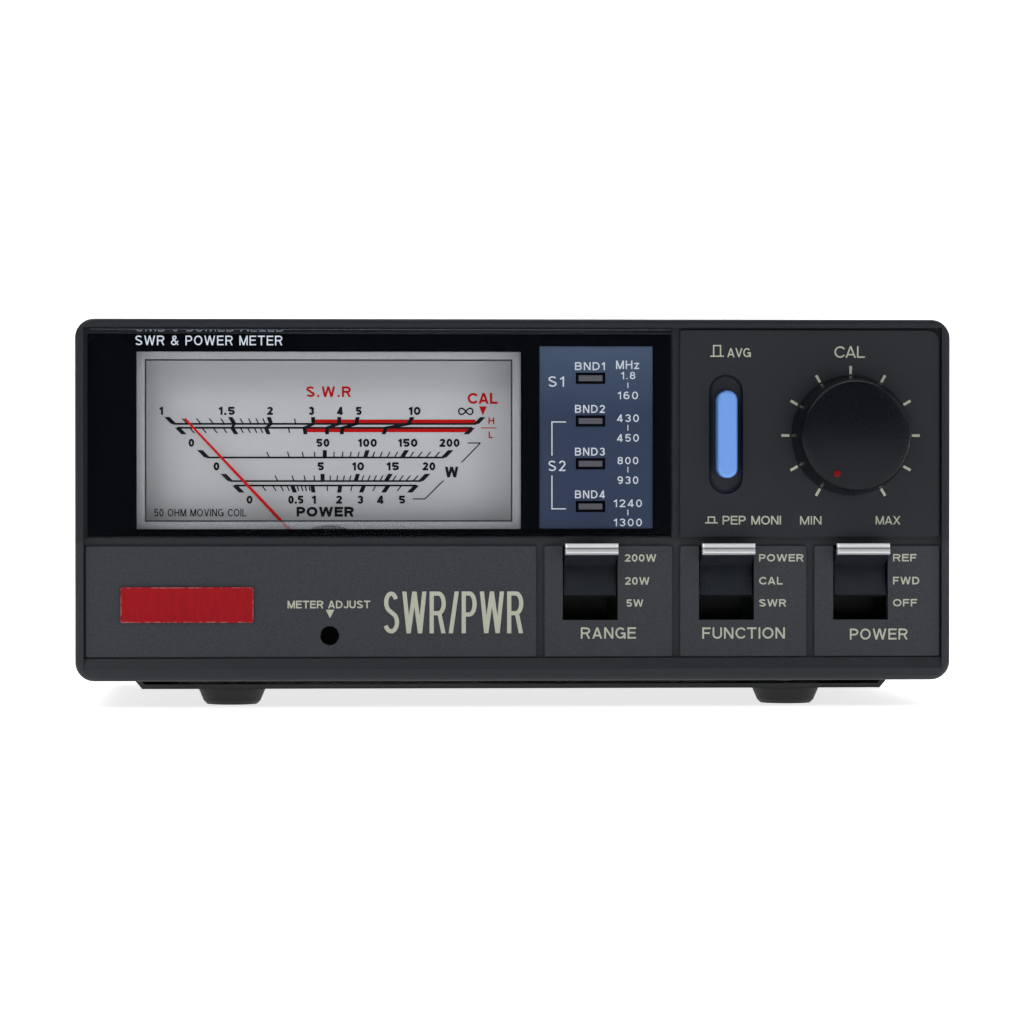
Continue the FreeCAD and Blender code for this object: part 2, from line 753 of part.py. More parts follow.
def lever_set(name, x):
    """One lever switch: a paddle with its shield, a metal cap, and the switch that holds its pivot.

    The paddle is drawn level on its pivot, then turned up to its resting place.
    """
    half = "lever_thick / 2"
    paddle = box(("-lever_half", "lever_half"), ("-lever_reach + cap_depth / 2", "-shield_front + 0.2"),
                 (f"-{half}", half))
    shield = box(("-lever_half", "lever_half"), ("-shield_front", "shield_thick - shield_front"),
                 ("-shield_half", "shield_half"))
    neck = box(("trunnion * 1.5 - ear_half", "ear_half - trunnion * 1.5"), ("-shield_front + 0.2", "0"),
               (f"-{half}", half))
    hub = rod("2", ("trunnion * 1.5 - ear_half", "ear_half - trunnion * 1.5"), "0", "0")
    pins = rod("trunnion", ("-ear_half", "ear_half"), "0", "0")
    lever = fuse(paddle, shield, neck, hub, pins)

    bar = box(("-cap_half", "cap_half"), ("-lever_reach", "cap_depth - lever_reach"),
              ("-cap_thick / 2", "cap_thick / 2"))
    cap = doc.addObject("Part::Fillet", "softened")
    doc.recompute()
    cap.Base = bar
    cap.Edges = [(i, 0.3, 0.3) for i, edge in enumerate(bar.Shape.Edges, start=1)
                 if edge.BoundBox.YMax < size("-lever_reach") + 1e-4]
    cap = cut(cap,
              box(("-lever_half", "lever_half"), ("-lever_reach + cap_depth / 2", "0"), (f"-{half}", half)))
    for label, item in ((f"{name}_lever", lever), (f"{name}_cap", cap)):
        item.Placement = FreeCAD.Placement(Vector(), Rotation(Vector(1, 0, 0), -size("lever_tilt")))
        keep(label, place(item, x, "lever_y", "lever_z"))

    case = box((f"{x} - ear_half", f"{x} + ear_half"), ("switch_front", "board_front"),
               ("lever_z - 7.5", "lever_z + 7.5"))
    ears = [
        box((f"{x} + ({side}) - ear_thick / 2", f"{x} + ({side}) + ear_thick / 2"),
            ("lever_y - 2.4", "switch_front"),
            ("lever_z - 3", "lever_z + 3"))
        for side in ("ear_half - ear_thick / 2", "ear_thick / 2 - ear_half")
    ]
    bore = rod("trunnion + fit_gap", (f"{x} - ear_half - 1", f"{x} + ear_half + 1"), "lever_y", "lever_z")
    legs = [
        rod("0.4", f"{x} + ({side}) * 2.5", ("board_front", "board_front + board_thick + 1.4"),
            f"lever_z + ({row}) * 4")
        for side in (-1, 1) for row in (-1, 0, 1)
    ]
    keep(f"{name}_switch", fuse(cut(fuse(case, *ears), bore), *legs))


def mode_button():
    """The push button, its return spring and the latching switch behind it."""
    button = body("mode_button")
    cap = sketch(button, "XZ_Plane", "-button_front")
    obround(cap, "button_x", "button_z", "button_width", "button_length")
    grow(button, "Pad", cap, "panel_back + button_gap - button_front")

    def front_rim(edge):
        return edge.BoundBox.YMax < size("button_front") + 1e-4

    round_edges(button, front_rim, "button_round")
    flange = ("panel_back + button_gap", "panel_back + button_gap + sheet")
    plate(button, ("button_x - 3", "button_x + 3"), ("button_z - 9", "button_z + 9"), *flange)
    plate(button, ("button_x - stem_half", "button_x + stem_half"),
          ("button_z - stem_half", "button_z + stem_half"),
          flange[1], "mode_front + button_travel")

    span = f"mode_front - ({flange[1]}) - 2 * spring_wire - 0.1"
    coil = doc.addObject("Part::Feature", "coil")
    coil.Shape = coil_spring(size("spring_radius"), size("spring_wire"), size(span), turns=4)
    coil.Placement = FreeCAD.Placement(Vector(), Rotation(Vector(1, 0, 0), -90))
    keep("mode_spring", place(coil, "button_x", f"{flange[1]} + spring_wire + 0.05", "button_z"))

    case = box(("button_x - 4", "button_x + 4"), ("mode_front", "board_front"),
               ("button_z - 6", "button_z + 6"))
    way = box(("button_x - stem_half - 0.1", "button_x + stem_half + 0.1"),
              ("mode_front", "mode_front + 2 * button_travel + 1"),
              ("button_z - stem_half - 0.1", "button_z + stem_half + 0.1"))
    keep("mode_switch", cut(case, way))


def coil_spring(radius, wire, span, turns):
    """A round-wire spring about Z: its path is a run of short arcs that climb round the axis."""
    steps = 6 * turns

    def station(step):
        angle = 2 * math.pi * turns * step / steps
        return Vector(radius * math.cos(angle), radius * math.sin(angle), span * step / steps)

    arcs = [Part.Arc(station(i), station(i + 0.5), station(i + 1)).toShape() for i in range(steps)]
    profile = Part.Wire(Part.makeCircle(wire, station(0), Vector(0, 1, 0)))
    return Part.Wire(arcs).makePipeShell([profile], True, True, 1)


def calibration():
    """The knob, the shaft, and the potentiometer clamped in the chassis by its nut."""
    turned("cal_knob", [
        ("shaft_radius", 0),
        ("knob_base", 0),
        ("knob_base", "knob_skirt"),
        ("knob_face", "knob_height - 0.5"),
        ("knob_face - 0.5", "knob_height"),
        ("0", "knob_height"),
        ("0", "knob_height - 2"),
        ("shaft_radius", "knob_height - 2"),
    ], "knob_x", "knob_back", "knob_z", Vector(0, -1, 0))

    front = "knob_back - knob_height + 2"
    keep("pot_shaft", rod("shaft_radius", "knob_x", (front, "pot_front + 3"), "knob_z"))

    case = rod("pot_radius", "knob_x", ("pot_front", "pot_back"), "knob_z")
    bushing = rod("bushing_radius + 0.4", "knob_x", ("knob_back + 1.2", "pot_front"), "knob_z")
    tags = box(("knob_x - 6", "knob_x + 6"), ("pot_back - 3", "pot_back - 2"),
               ("knob_z - pot_radius - 5", "knob_z - pot_radius + 2"))
    bore = rod("shaft_radius + fit_gap", "knob_x", ("knob_back", "pot_front + 3.2"), "knob_z")
    keep("cal_pot", cut(fuse(case, bushing, tags), bore))

    nut = doc.addObject("Part::Prism", "hexagon")
    nut.Polygon = 6
    bind(nut, Circumradius="bushing_radius + 2.6", Height="2")
    nut.Placement = FreeCAD.Placement(Vector(), Rotation(Vector(1, 0, 0), -90))
    place(nut, "knob_x", "bezel_back - 2", "knob_z")
    keep("pot_nut",
         cut(nut, rod("bushing_radius + 0.4", "knob_x", ("bezel_back - 3", "bezel_back + 1"), "knob_z")))


def circuit_boards():
    """The upright board behind the controls and the flat board over the floor."""
    front, back = "board_front", "board_front + board_thick"
    upright = box(("cover_end + 4", "case_width / 2 - 4"), (front, back), ("floor_base + 5", "case_top - 5"))
    holes = [
        rod("0.45", f"{x} + ({side}) * 2.5", (front, back), f"lever_z + ({row}) * 4")
        for x in LEVERS.values() for side in (-1, 1) for row in (-1, 0, 1)
    ]
    keep("control_board", cut(upright, *holes))
    flat = box(("-tray_half", "tray_half"), ("board_front + 5", "sensor_front - 2"),
               ("main_board_z", "main_board_z + board_thick"))
    through = ("main_board_z", "main_board_z + board_thick")
    keep("main_board", cut(flat, *[rod("screw_radius + 0.1", x, y, through) for x, y in board_posts()]))


def board_posts():
    """Where the posts under the main board stand."""
    across = ("post_inset - tray_half", "tray_half - post_inset")
    along = ("board_front + post_space", "sensor_front - post_inset - post_radius")
    return [(x, y) for x in across for y in along]


# ---------------------------------------------------------------- case

def chassis():
    """The folded steel floor with its pressed tray, side flanges, front wall and rear wall."""
    case = body("chassis")
    floor = sketch(case, "XZ_Plane", "-bezel_back")
    half, thick = "case_width / 2 - cover_inset - sheet - 0.1", "sheet"
    right = [
        ("tray_half - tray_slope", "pan_base"),
        ("tray_half", "floor_base"),
        (half, "floor_base"),
        (half, "flange_top"),
        (f"{half} - {thick}", "flange_top"),
        (f"{half} - {thick}", f"floor_base + {thick}"),
        ("tray_half - 0.4", f"floor_base + {thick}"),
        ("tray_half - 0.4 - tray_slope", f"pan_base + {thick}"),
    ]
    left = [(f"-({x})", z) for x, z in reversed(right)]
    outline(floor, right + left)
    grow(case, "Pad", floor, "rear_face - bezel_back")
    walls = (f"-({half})", half)
    upright = ("floor_base + sheet / 2", "case_top - cover_inset - sheet - 0.1")
    plate(case, walls, upright, "bezel_back", "bezel_back + sheet")
    plate(case, walls, upright, "rear_face - sheet", "rear_face")

    def top_corner(edge):
        spot = edge.Vertexes[0].Point
        return runs_along_y(edge) and spot.z > size(upright[1]) - 1e-3 and abs(spot.x) > size(half) - 1e-3

    round_edges(case, top_corner, "bezel_radius - cover_inset - sheet")

    def front_hole(x, z):
        recess(case, x, z, "bezel_back", "bezel_back + sheet")

    front_hole(("cover_start + 0.2", "cover_end - 0.2"), ("cover_base + 0.3", "cover_top - 0.2"))
    front_hole(("band_x - 4", "band_x + 4"), ("hole_base + 1", "hole_top - 3"))
    front_hole(("button_x - 4.2", "button_x + 4.2"), ("button_z - 6.2", "button_z + 6.2"))
    for x in LEVERS.values():
        front_hole((f"{x} - slot_half - 0.6", f"{x} + slot_half + 0.6"), ("lever_z - 8", "lever_z + 8"))
    front_rounds = sketch(case, "XZ_Plane", "-bezel_back")
    circle(front_rounds, "knob_x", "knob_z", "bushing_radius + 0.45")
    for x, z in bezel_screw_spots():
        circle(front_rounds, x, z, "screw_radius + 0.15")
    grow(case, "Pocket", front_rounds, "sheet")

    rear_rounds = sketch(case, "XZ_Plane", "sheet - rear_face")
    for x in SOCKETS.values():
        circle(rear_rounds, x, "socket_z", "socket_bore + 0.6")
        for side, rise in corners():
            circle(rear_rounds, f"{x} + ({side}) * screw_pitch", f"socket_z + ({rise}) * screw_pitch",
                   "screw_radius + 0.1")
    circle(rear_rounds, "jack_x", "socket_z", "jack_radius + 0.1")
    grow(case, "Pocket", rear_rounds, "sheet")

    floor_rounds = sketch(case, "XY_Plane", "pan_base")
    for x, y in FEET.values():
        circle(floor_rounds, x, y, "screw_radius + 0.1")
    below = case.newObject("PartDesign::Pocket", "FootHoles")
    below.Profile = floor_rounds
    below.Reversed = True
    bind(below, Length="sheet + 0.1")
    doc.recompute()
    side_rounds = sketch(case, "YZ_Plane")
    for y in side_screw_spots():
        circle(side_rounds, y, "side_screw_z", "screw_radius + 0.1")
    across = case.newObject("PartDesign::Pocket", "SideHoles")
    across.Profile = side_rounds
    across.Midplane = True
    bind(across, Length="case_width")
    doc.recompute()

    posts = case.newObject("Sketcher::SketchObject", "posts")
    ground = next(item for item in case.Origin.OriginFeatures if item.Role == "XY_Plane")
    posts.AttachmentSupport = [(ground, "")]
    posts.MapMode = "FlatFace"
    bind(posts, AttachmentOffset__Base__z="pan_base + sheet / 2")
    for x, y in board_posts():
        circle(posts, x, y, "post_radius")
    rise = case.newObject("PartDesign::Pad", "Posts")
    rise.Profile = posts
    bind(rise, Length="main_board_z - pan_base - sheet / 2")
    doc.recompute()
    threads = case.newObject("Sketcher::SketchObject", "threads")
    threads.AttachmentSupport = [(ground, "")]
    threads.MapMode = "FlatFace"
    bind(threads, AttachmentOffset__Base__z="main_board_z")
    for x, y in board_posts():
        circle(threads, x, y, "screw_radius + 0.02")
    down = case.newObject("PartDesign::Pocket", "Threads")
    down.Profile = threads
    bind(down, Length="main_board_z - pan_base - sheet")
    doc.recompute()


def rounded_block(x, y, z, radius):
    """A box with its two upper long edges rounded."""
    block = box(x, y, z)
    doc.recompute()
    top = block.Shape.BoundBox.ZMax
    soft = doc.addObject("Part::Fillet", "rounded")
    soft.Base = block
    soft.Edges = [(i, size(radius), size(radius)) for i, edge in enumerate(block.Shape.Edges, start=1)
                  if runs_along_y(edge) and edge.Vertexes[0].Point.z > top - 1e-3]
    return soft


def top_cover():
    """The folded steel cover: top and both sides in one sheet."""
    half, top = "case_width / 2 - cover_inset", "case_top - cover_inset"
    outer = rounded_block((f"-({half})", half), ("bezel_back", "rear_face"), ("floor_base + 0.8", top),
                          "bezel_radius - cover_inset")
    inner = rounded_block((f"sheet - ({half})", f"({half}) - sheet"), ("bezel_back - 1", "rear_face + 1"),
                          ("floor_base - 1", f"{top} - sheet"), "bezel_radius - cover_inset - sheet")
    holes = [
        rod("screw_radius + 0.1", ("-case_width / 2", "case_width / 2"), y, "side_screw_z")
        for y in side_screw_spots()
    ]
    keep("top_cover", cut(outer, inner, *holes))


def side_screw_spots():
    return ["bezel_back + 44", "rear_face - 12"]


def bezel_screw_spots():
    return [(x, z) for x in ("-72", "72") for z in ("11", "61")]


def corners():
    return [(side, rise) for side in (-1, 1) for rise in (-1, 1)]


def feet_and_screws():
    for name, (x, y) in FEET.items():
        turned(name, [
            ("foot_hole", "foot_lip"),
            ("foot_well", "foot_lip"),
            ("foot_well", 0),
            ("foot_low_radius - foot_bevel", 0),
            ("foot_low_radius", "foot_bevel"),
            ("foot_top_radius", "pan_base - 0.4"),
            ("foot_top_radius", "pan_base"),
            ("foot_hole", "pan_base"),
        ], x, y, 0, Vector(0, 0, 1))
    below = [cap_screw(x, y, "foot_lip - screw_head_height", Vector(0, 0, 1)) for x, y in FEET.values()]
    keep("foot_screws", group(*below))
    half = "case_width / 2 - cover_inset"
    keep("cover_screws", group(*[
        cap_screw(f"({side}) * ({half} + screw_head_height)", y, "side_screw_z", Vector(-side, 0, 0))
        for side in (-1, 1) for y in side_screw_spots()
    ]))
    behind_panel = "bezel_back + sheet + screw_head_height"
    over_board = "main_board_z + board_thick + screw_head_height"
    inner = [cap_screw(x, behind_panel, z, Vector(0, -1, 0)) for x, z in bezel_screw_spots()]
    inner += [cap_screw(x, y, over_board, Vector(0, 0, -1)) for x, y in board_posts()]
    keep("inner_screws", group(*inner))


# ---------------------------------------------------------------- sensors and sockets

def sensor(name, first, last):
    """A screened box on the rear wall with the line that joins its two sockets, and its coupler."""
    x = (f"{first} - flange_half", f"{last} + flange_half")
    y = ("sensor_front", "rear_face - sheet - fit_gap")
    z = ("sensor_base", "sensor_top")
    walls = box(x, y, z)
    space = box((f"{x[0]} + 0.8", f"{x[1]} - 0.8"), (f"{y[0]} + 0.8", f"{y[1]} - 0.8"),
                (f"{z[0]} + 0.8", z[1]))
    depth = ("rear_face - 5", "rear_face")
    holes = [rod("socket_bore + 0.1", at, depth, "socket_z") for at in (first, last)]
    nicks = [
        rod("screw_radius + 1.4", f"{at} + ({side}) * screw_pitch", ("rear_face - 3", "rear_face"),
            f"socket_z + ({rise}) * screw_pitch")
        for at in (first, last) for side, rise in corners()
    ]
    keep(f"{name}_sensor_box", cut(walls, space, *holes, *nicks))
    lid = box(x, y, ("sensor_top", "sensor_top + sheet"))
    return lid


def sensors():
    spots = list(SOCKETS.values())
    keep("sensor_lids", group(sensor("hf", *spots[:2]), sensor("uhf", *spots[2:])))
    line_y = "socket_tail - 6"
    hf = [rod("1.2", (f"{spots[0]} + 0.2", f"{spots[1]} - 0.2"), line_y, "socket_z")]
    hf += [rod("1.2", x, (line_y, "socket_tail - 3.05"), "socket_z") for x in spots[:2]]
    torus = doc.addObject("Part::Torus", "toroid")
    bind(torus, Radius1="6.5", Radius2="2.6")
    torus.Placement = FreeCAD.Placement(Vector(), Rotation(Vector(0, 1, 0), 90))
    place(torus, (spots[0] + spots[1]) / 2, line_y, "socket_z")
    keep("hf_coupler", group(fuse(*hf), torus))
    uhf = [box((f"{spots[2]} - 2", f"{spots[3]} + 2"), (f"{line_y} - 0.4", f"{line_y} + 0.4"),
               ("socket_z - 2", "socket_z + 2"))]
    uhf += [rod("1.2", x, (line_y, "socket_tail - 3.05"), "socket_z") for x in spots[2:]]
    side = box((f"{spots[2]} + 6", f"{spots[3]} - 6"), (f"{line_y} - 3", f"{line_y} - 2.2"),
               ("socket_z - 1", "socket_z + 1"))
    keep("uhf_coupler", group(fuse(*uhf), side))


def sockets():
    """The four threaded coax sockets. The two HF ones are filled with insulator to near the mouth."""
    ends = "half_depth"
    insulators, contacts, screws = [], [], []
    for name, x in SOCKETS.items():
        flange = box((f"{x} - flange_half", f"{x} + flange_half"), ("rear_face", "rear_face + flange_thick"),
                     ("socket_z - flange_half", "socket_z + flange_half"))
        barrel = rod("thread_radius", x, ("rear_face + flange_thick", ends), "socket_z")
        tail = rod("socket_bore", x, ("socket_tail", "rear_face"), "socket_z")
        bore = rod("socket_bore - 0.8", x, ("socket_tail", ends), "socket_z")
        holes = [
            rod("screw_radius + 0.1", f"{x} + ({side}) * screw_pitch",
                ("rear_face", "rear_face + flange_thick"),
                f"socket_z + ({rise}) * screw_pitch")
            for side, rise in corners()
        ]
        keep(name, cut(fuse(flange, barrel, tail), bore, *holes))
        wide = name.startswith("hf")
        mouth = f"{ends} - 1.2" if wide else "rear_face - 1"
        radius = "contact_radius" if wide else "contact_radius - 1.2"
        fill = rod("socket_bore - 0.8", x, ("socket_tail", mouth), "socket_z")
        insulators.append(cut(fill, rod(radius, x, ("socket_tail", mouth), "socket_z")))
        pin = rod(radius, x, ("socket_tail - 3", mouth if wide else f"{ends} - 2.5"), "socket_z")
        hollow = rod(f"{radius} - 0.7", x, ("rear_face + 2", ends), "socket_z")
        contacts.append(cut(pin, hollow))
        screws += [
            cap_screw(f"{x} + ({side}) * screw_pitch", "rear_face + flange_thick + screw_head_height",
                      f"socket_z + ({rise}) * screw_pitch", Vector(0, -1, 0))
            for side, rise in corners()
        ]
    keep("socket_insulators", group(*insulators))
    keep("socket_contacts", group(*contacts))
    keep("socket_screws", group(*screws))

    barrel = rod("jack_radius", "jack_x", ("rear_face - 10", "rear_face + 2"), "socket_z")
    flange = rod("jack_radius + 1.4", "jack_x", ("rear_face", "rear_face + 1"), "socket_z")
    bore = rod("jack_radius - 1", "jack_x", ("rear_face - 7", "rear_face + 2"), "socket_z")
    pin = rod("1.05", "jack_x", ("rear_face - 8", "rear_face + 1"), "socket_z")
    keep("dc_jack", fuse(cut(fuse(barrel, flange), bore), pin))


# ---------------------------------------------------------------- build, check and write

def write_parts():
    doc.recompute()
    bad = [item.Name for item in doc.Objects if "Invalid" in item.State or "Error" in item.State]
    shapes = {item.Label: item.Shape for item in parts}
    bad += [name for name, shape in shapes.items() if shape.isNull() or not shape.isValid() or not shape.Solids]
    if bad:
        raise RuntimeError(f"these did not build: {bad}")
    os.makedirs("parts", exist_ok=True)
    for old in os.listdir("parts"):
        os.remove(os.path.join("parts", old))
    for item in parts:
        item.Shape.exportStep(f"parts/{item.Label}.step")
        print(f"{item.Label:22s} {len(item.Shape.Solids):3d} solids {item.Shape.Volume:10.1f} mm3")


front_bezel()
badge()
window_parts()
meter_shell()
meter_magnet()
meter_movement()
zero_set()
for lever_name, lever_x in LEVERS.items():
    lever_set(lever_name, lever_x)
mode_button()
calibration()
circuit_boards()
chassis()
top_cover()
feet_and_screws()
sensors()
sockets()
write_parts()
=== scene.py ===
"""Looks of the SWR meter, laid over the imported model. Metres; +X right, +Z up, the front panel faces -Y.

Places are written in millimetres of the same frame and multiplied by MM.
"""
import json
import math

import bmesh
import bpy
from mathutils import Matrix, Vector


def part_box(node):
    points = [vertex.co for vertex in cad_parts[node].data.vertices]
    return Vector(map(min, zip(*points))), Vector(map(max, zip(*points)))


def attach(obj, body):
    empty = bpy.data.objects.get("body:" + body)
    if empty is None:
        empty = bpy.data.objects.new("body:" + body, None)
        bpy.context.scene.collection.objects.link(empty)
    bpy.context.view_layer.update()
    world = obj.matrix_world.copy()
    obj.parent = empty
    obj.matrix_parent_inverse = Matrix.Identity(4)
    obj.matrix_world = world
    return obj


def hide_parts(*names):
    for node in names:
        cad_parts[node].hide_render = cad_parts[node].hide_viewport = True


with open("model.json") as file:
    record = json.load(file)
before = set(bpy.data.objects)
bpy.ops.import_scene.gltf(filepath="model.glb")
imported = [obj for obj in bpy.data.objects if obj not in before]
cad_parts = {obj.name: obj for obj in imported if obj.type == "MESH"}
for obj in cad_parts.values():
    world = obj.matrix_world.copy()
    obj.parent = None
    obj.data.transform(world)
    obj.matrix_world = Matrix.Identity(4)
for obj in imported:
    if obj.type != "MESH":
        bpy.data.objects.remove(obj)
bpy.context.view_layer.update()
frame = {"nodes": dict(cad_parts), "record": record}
nodes = frame["nodes"]

MM = 0.001
TILE_Y = -53.2 * MM                      # face of the front panel's tiles
LIP_Y = -52.75 * MM                      # face of the glossy lip over the pane
KNOB_X, KNOB_Z = 59.8, 48.2              # axis of the calibration knob
COVER_FACE = (-65.0, -0.5, 33.2, 61.4)   # raised face of the meter cover: x from and to, z from and to
TITLE = "SWR & POWER METER"

PRINT = 0.02 * MM                        # thickness of printing
SKIN = 0.004 * MM                        # how far printing is sunk into what carries it
STAGGER = 0.002 * MM                     # step in height between crossing strokes


# ---------------------------------------------------------------- materials

def linear(red, green, blue):
    """A display colour, 0 to 255, as linear light."""
    out = []
    for level in (red, green, blue):
        value = level / 255
        out.append(value / 12.92 if value <= 0.04045 else ((value + 0.055) / 1.055) ** 2.4)
    return (*out, 1.0)


class Graph:
    """A material and short calls that add nodes to it."""

    def __init__(self, name):
        self.name = name
        self.material = bpy.data.materials.new(name)
        self.material.use_nodes = True
        self.tree = self.material.node_tree
        self.shader = self.tree.nodes["Principled BSDF"]
        self.place = self.node("ShaderNodeTexCoord").outputs["Object"]

    def node(self, kind, **settings):
        made = self.tree.nodes.new(kind)
        for key, value in settings.items():
            setattr(made, key, value)
        return made

    def feed(self, socket, value):
        """Link a node's output to a socket, or set the socket to a plain value."""
        if isinstance(value, bpy.types.NodeSocket):
            self.tree.links.new(value, socket)
        else:
            socket.default_value = value

    def maths(self, operation, *values):
        made = self.node("ShaderNodeMath", operation=operation)
        for socket, value in zip(made.inputs, values):
            self.feed(socket, value)
        return made.outputs[0]

    def noise(self, grain, detail=2.0, stretch=None):
        """Noise of a feature size in millimetres, from 0 to 1."""
        made = self.node("ShaderNodeTexNoise")
        made.inputs["Scale"].default_value = 1 / (grain * MM)
        made.inputs["Detail"].default_value = detail
        made.inputs["Roughness"].default_value = 0.55
        self.feed(made.inputs["Vector"], self.stretched(stretch) if stretch else self.place)
        return made.outputs["Fac"]

    def stretched(self, scale):
        made = self.node("ShaderNodeMapping")
        self.feed(made.inputs["Vector"], self.place)
        made.inputs["Scale"].default_value = scale
        return made.outputs["Vector"]

    def remap(self, value, low, high, start=0.3, end=0.7):
        """Low to high as the value goes from start to end, which suits noise unless they are given."""
        made = self.node("ShaderNodeMapRange")
        for socket, number in zip(made.inputs, (value, start, end, low, high)):
            self.feed(socket, number)
        return made.outputs["Result"]

    def mix(self, amount, first, second):
        made = self.node("ShaderNodeMix", data_type="RGBA")
        self.feed(made.inputs["Factor"], amount)
        self.feed(made.inputs["A"], first)
        self.feed(made.inputs["B"], second)
        return made.outputs["Result"]

    def bump(self, height, depth):
        """Height, from 0 to 1, as dents up to a depth in millimetres."""
        made = self.node("ShaderNodeBump")
        made.inputs["Strength"].default_value = 1.0
        made.inputs["Distance"].default_value = depth * MM
        self.feed(made.inputs["Height"], height)
        self.feed(self.shader.inputs["Normal"], made.outputs["Normal"])

    def show(self, surface):
        """Use a shader's output as the whole surface."""
        self.surface = surface
        self.feed(self.tree.nodes["Material Output"].inputs["Surface"], surface)

    def paint(self, color):
        self.feed(self.shader.inputs["Base Color"], color)

    def roughen(self, rough):
        self.feed(self.shader.inputs["Roughness"], rough)

    def axis(self, name):
        split = self.node("ShaderNodeSeparateXYZ")
        self.feed(split.inputs[0], self.place)
        return split.outputs[name]

    def between(self, name, low, high, soft):
        """1 where the coordinate, in millimetres, lies between two values."""
        value = self.axis(name)
        rise = self.remap(value, 0.0, 1.0, (low - soft) * MM, (low + soft) * MM)
        fall = self.remap(value, 1.0, 0.0, (high - soft) * MM, (high + soft) * MM)
        return self.maths("MULTIPLY", rise, fall)

    def window(self, x0, x1, z0, z1, soft):
        """1 inside an upright rectangle, in millimetres, seen from the front."""
        return self.maths("MULTIPLY", self.between("X", x0, x1, soft), self.between("Z", z0, z1, soft))

    def set(self, **sockets):
        """Values that are the same all over, on the shader's own sockets."""
        for key, value in sockets.items():
            self.shader.inputs[key.replace("_", " ")].default_value = value
        return self


def shades(color, spread):
    """A darker and a lighter shade of a colour."""
    low = tuple(max(0.0, channel * (1 - spread)) for channel in color[:3])
    high = tuple(min(1.0, channel * (1 + spread)) for channel in color[:3])
    return (*low, 1.0), (*high, 1.0)


def grained(name, color, rough, grain=0.25, spread=0.15, depth=0.015, wander=0.06, **sockets):
    """A moulded or painted surface: fine grain in colour and height, broad wander in gloss."""
    graph = Graph(name)
    fine = graph.noise(grain, detail=3.0)
    dark, light = shades(color, spread)
    broad = graph.noise(grain * 60, detail=2.0)
    tone = graph.mix(graph.remap(fine, 0, 1), dark, light)
    graph.paint(tone)
    patches = graph.remap(broad, -wander, wander)
    specks = graph.remap(fine, rough - wander / 2, rough + wander / 2)
    graph.roughen(graph.maths("ADD", patches, specks))
    if depth:
        graph.bump(fine, depth)
    return graph.set(**sockets)


def brushed(name, color, rough, along="X"):
    """A metal with fine drawn lines along one axis."""
    graph = Graph(name)
    stretch = {"X": (0.03, 1, 1), "Y": (1, 0.03, 1)}[along]
    lines = graph.noise(0.12, detail=3.0, stretch=stretch)
    dark, light = shades(color, 0.12)
    graph.paint(graph.mix(graph.remap(lines, 0, 1), dark, light))
    graph.roughen(graph.remap(lines, rough - 0.06, rough + 0.08))
    graph.bump(lines, 0.004)
    return graph.set(Metallic=1.0)


def clear(name, tint, rough, ior):
    """A thin clear sheet: see-through, with a reflection that grows towards grazing."""
    graph = Graph(name)
    graph.tree.nodes.remove(graph.shader)
    through = graph.node("ShaderNodeBsdfTransparent")
    through.inputs["Color"].default_value = tint
    gloss = graph.node("ShaderNodeBsdfGlossy")
    smear = graph.noise(14, detail=3.0)
    graph.feed(gloss.inputs["Roughness"], graph.remap(smear, rough * 0.6, rough * 1.6))
    gloss.inputs["Color"].default_value = (1, 1, 1, 1)
    edge = graph.node("ShaderNodeFresnel")
    edge.inputs["IOR"].default_value = ior
    mixed = graph.node("ShaderNodeMixShader")
    graph.feed(mixed.inputs[0], edge.outputs[0])
    graph.feed(mixed.inputs[1], through.outputs[0])
    graph.feed(mixed.inputs[2], gloss.outputs[0])
    graph.show(mixed.outputs[0])
    return graph


def bezel_plastic():
    """Dark textured moulding: light lower tiles, a darker rim and a darker upper half."""
    graph = Graph("bezel_plastic")
    fine = graph.noise(0.22, detail=3.0)
    broad = graph.noise(18, detail=2.0)
    grain = graph.remap(fine, 0, 1)
    rim, upper, tile = (
        graph.mix(grain, *shades(linear(*color), spread))
        for color, spread in (((35, 38, 43), 0.16), ((23, 27, 34), 0.18), ((44, 47, 53), 0.4))
    )
    height = graph.remap(graph.axis("Z"), 0, 1, 28.9 * MM, 29.9 * MM)
    on_face = graph.between("Y", -53.4, -52.95, 0.02)
    on_tiles = graph.maths("MULTIPLY", on_face, graph.window(-75.8, 75.8, 8.9, 28.75, 0.02))
    graph.paint(graph.mix(on_tiles, graph.mix(height, rim, upper), tile))
    graph.roughen(graph.maths("ADD", graph.remap(broad, -0.04, 0.04), graph.remap(fine, 0.42, 0.52)))
    graph.bump(fine, 0.018)
    return graph.set(Specular_IOR_Level=0.32)


def badge_red():
    """Red foil with a pale worn line round its edge."""
    graph = Graph("badge_red")
    low, high = (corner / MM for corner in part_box("red_badge"))
    border = 0.15
    inside = graph.window(low.x + border, high.x - border, low.z + border, high.z - border, 0.12)
    wear = graph.noise(1.1, detail=4.0)
    rubbed = graph.remap(wear, 0, 0.6, 0.42, 0.62)
    edge = graph.maths("MULTIPLY", graph.maths("SUBTRACT", 1.0, inside), rubbed)
    dark, light = shades(linear(146, 4, 18), 0.13)
    streaks = graph.noise(0.5, detail=4.0, stretch=(1, 1, 0.22))
    red = graph.mix(graph.remap(streaks, 0, 1), dark, light)
    graph.paint(graph.mix(edge, red, linear(178, 130, 132)))
    graph.roughen(graph.remap(wear, 0.5, 0.62))
    graph.bump(streaks, 0.012)
    return graph.set(Specular_IOR_Level=0.16)


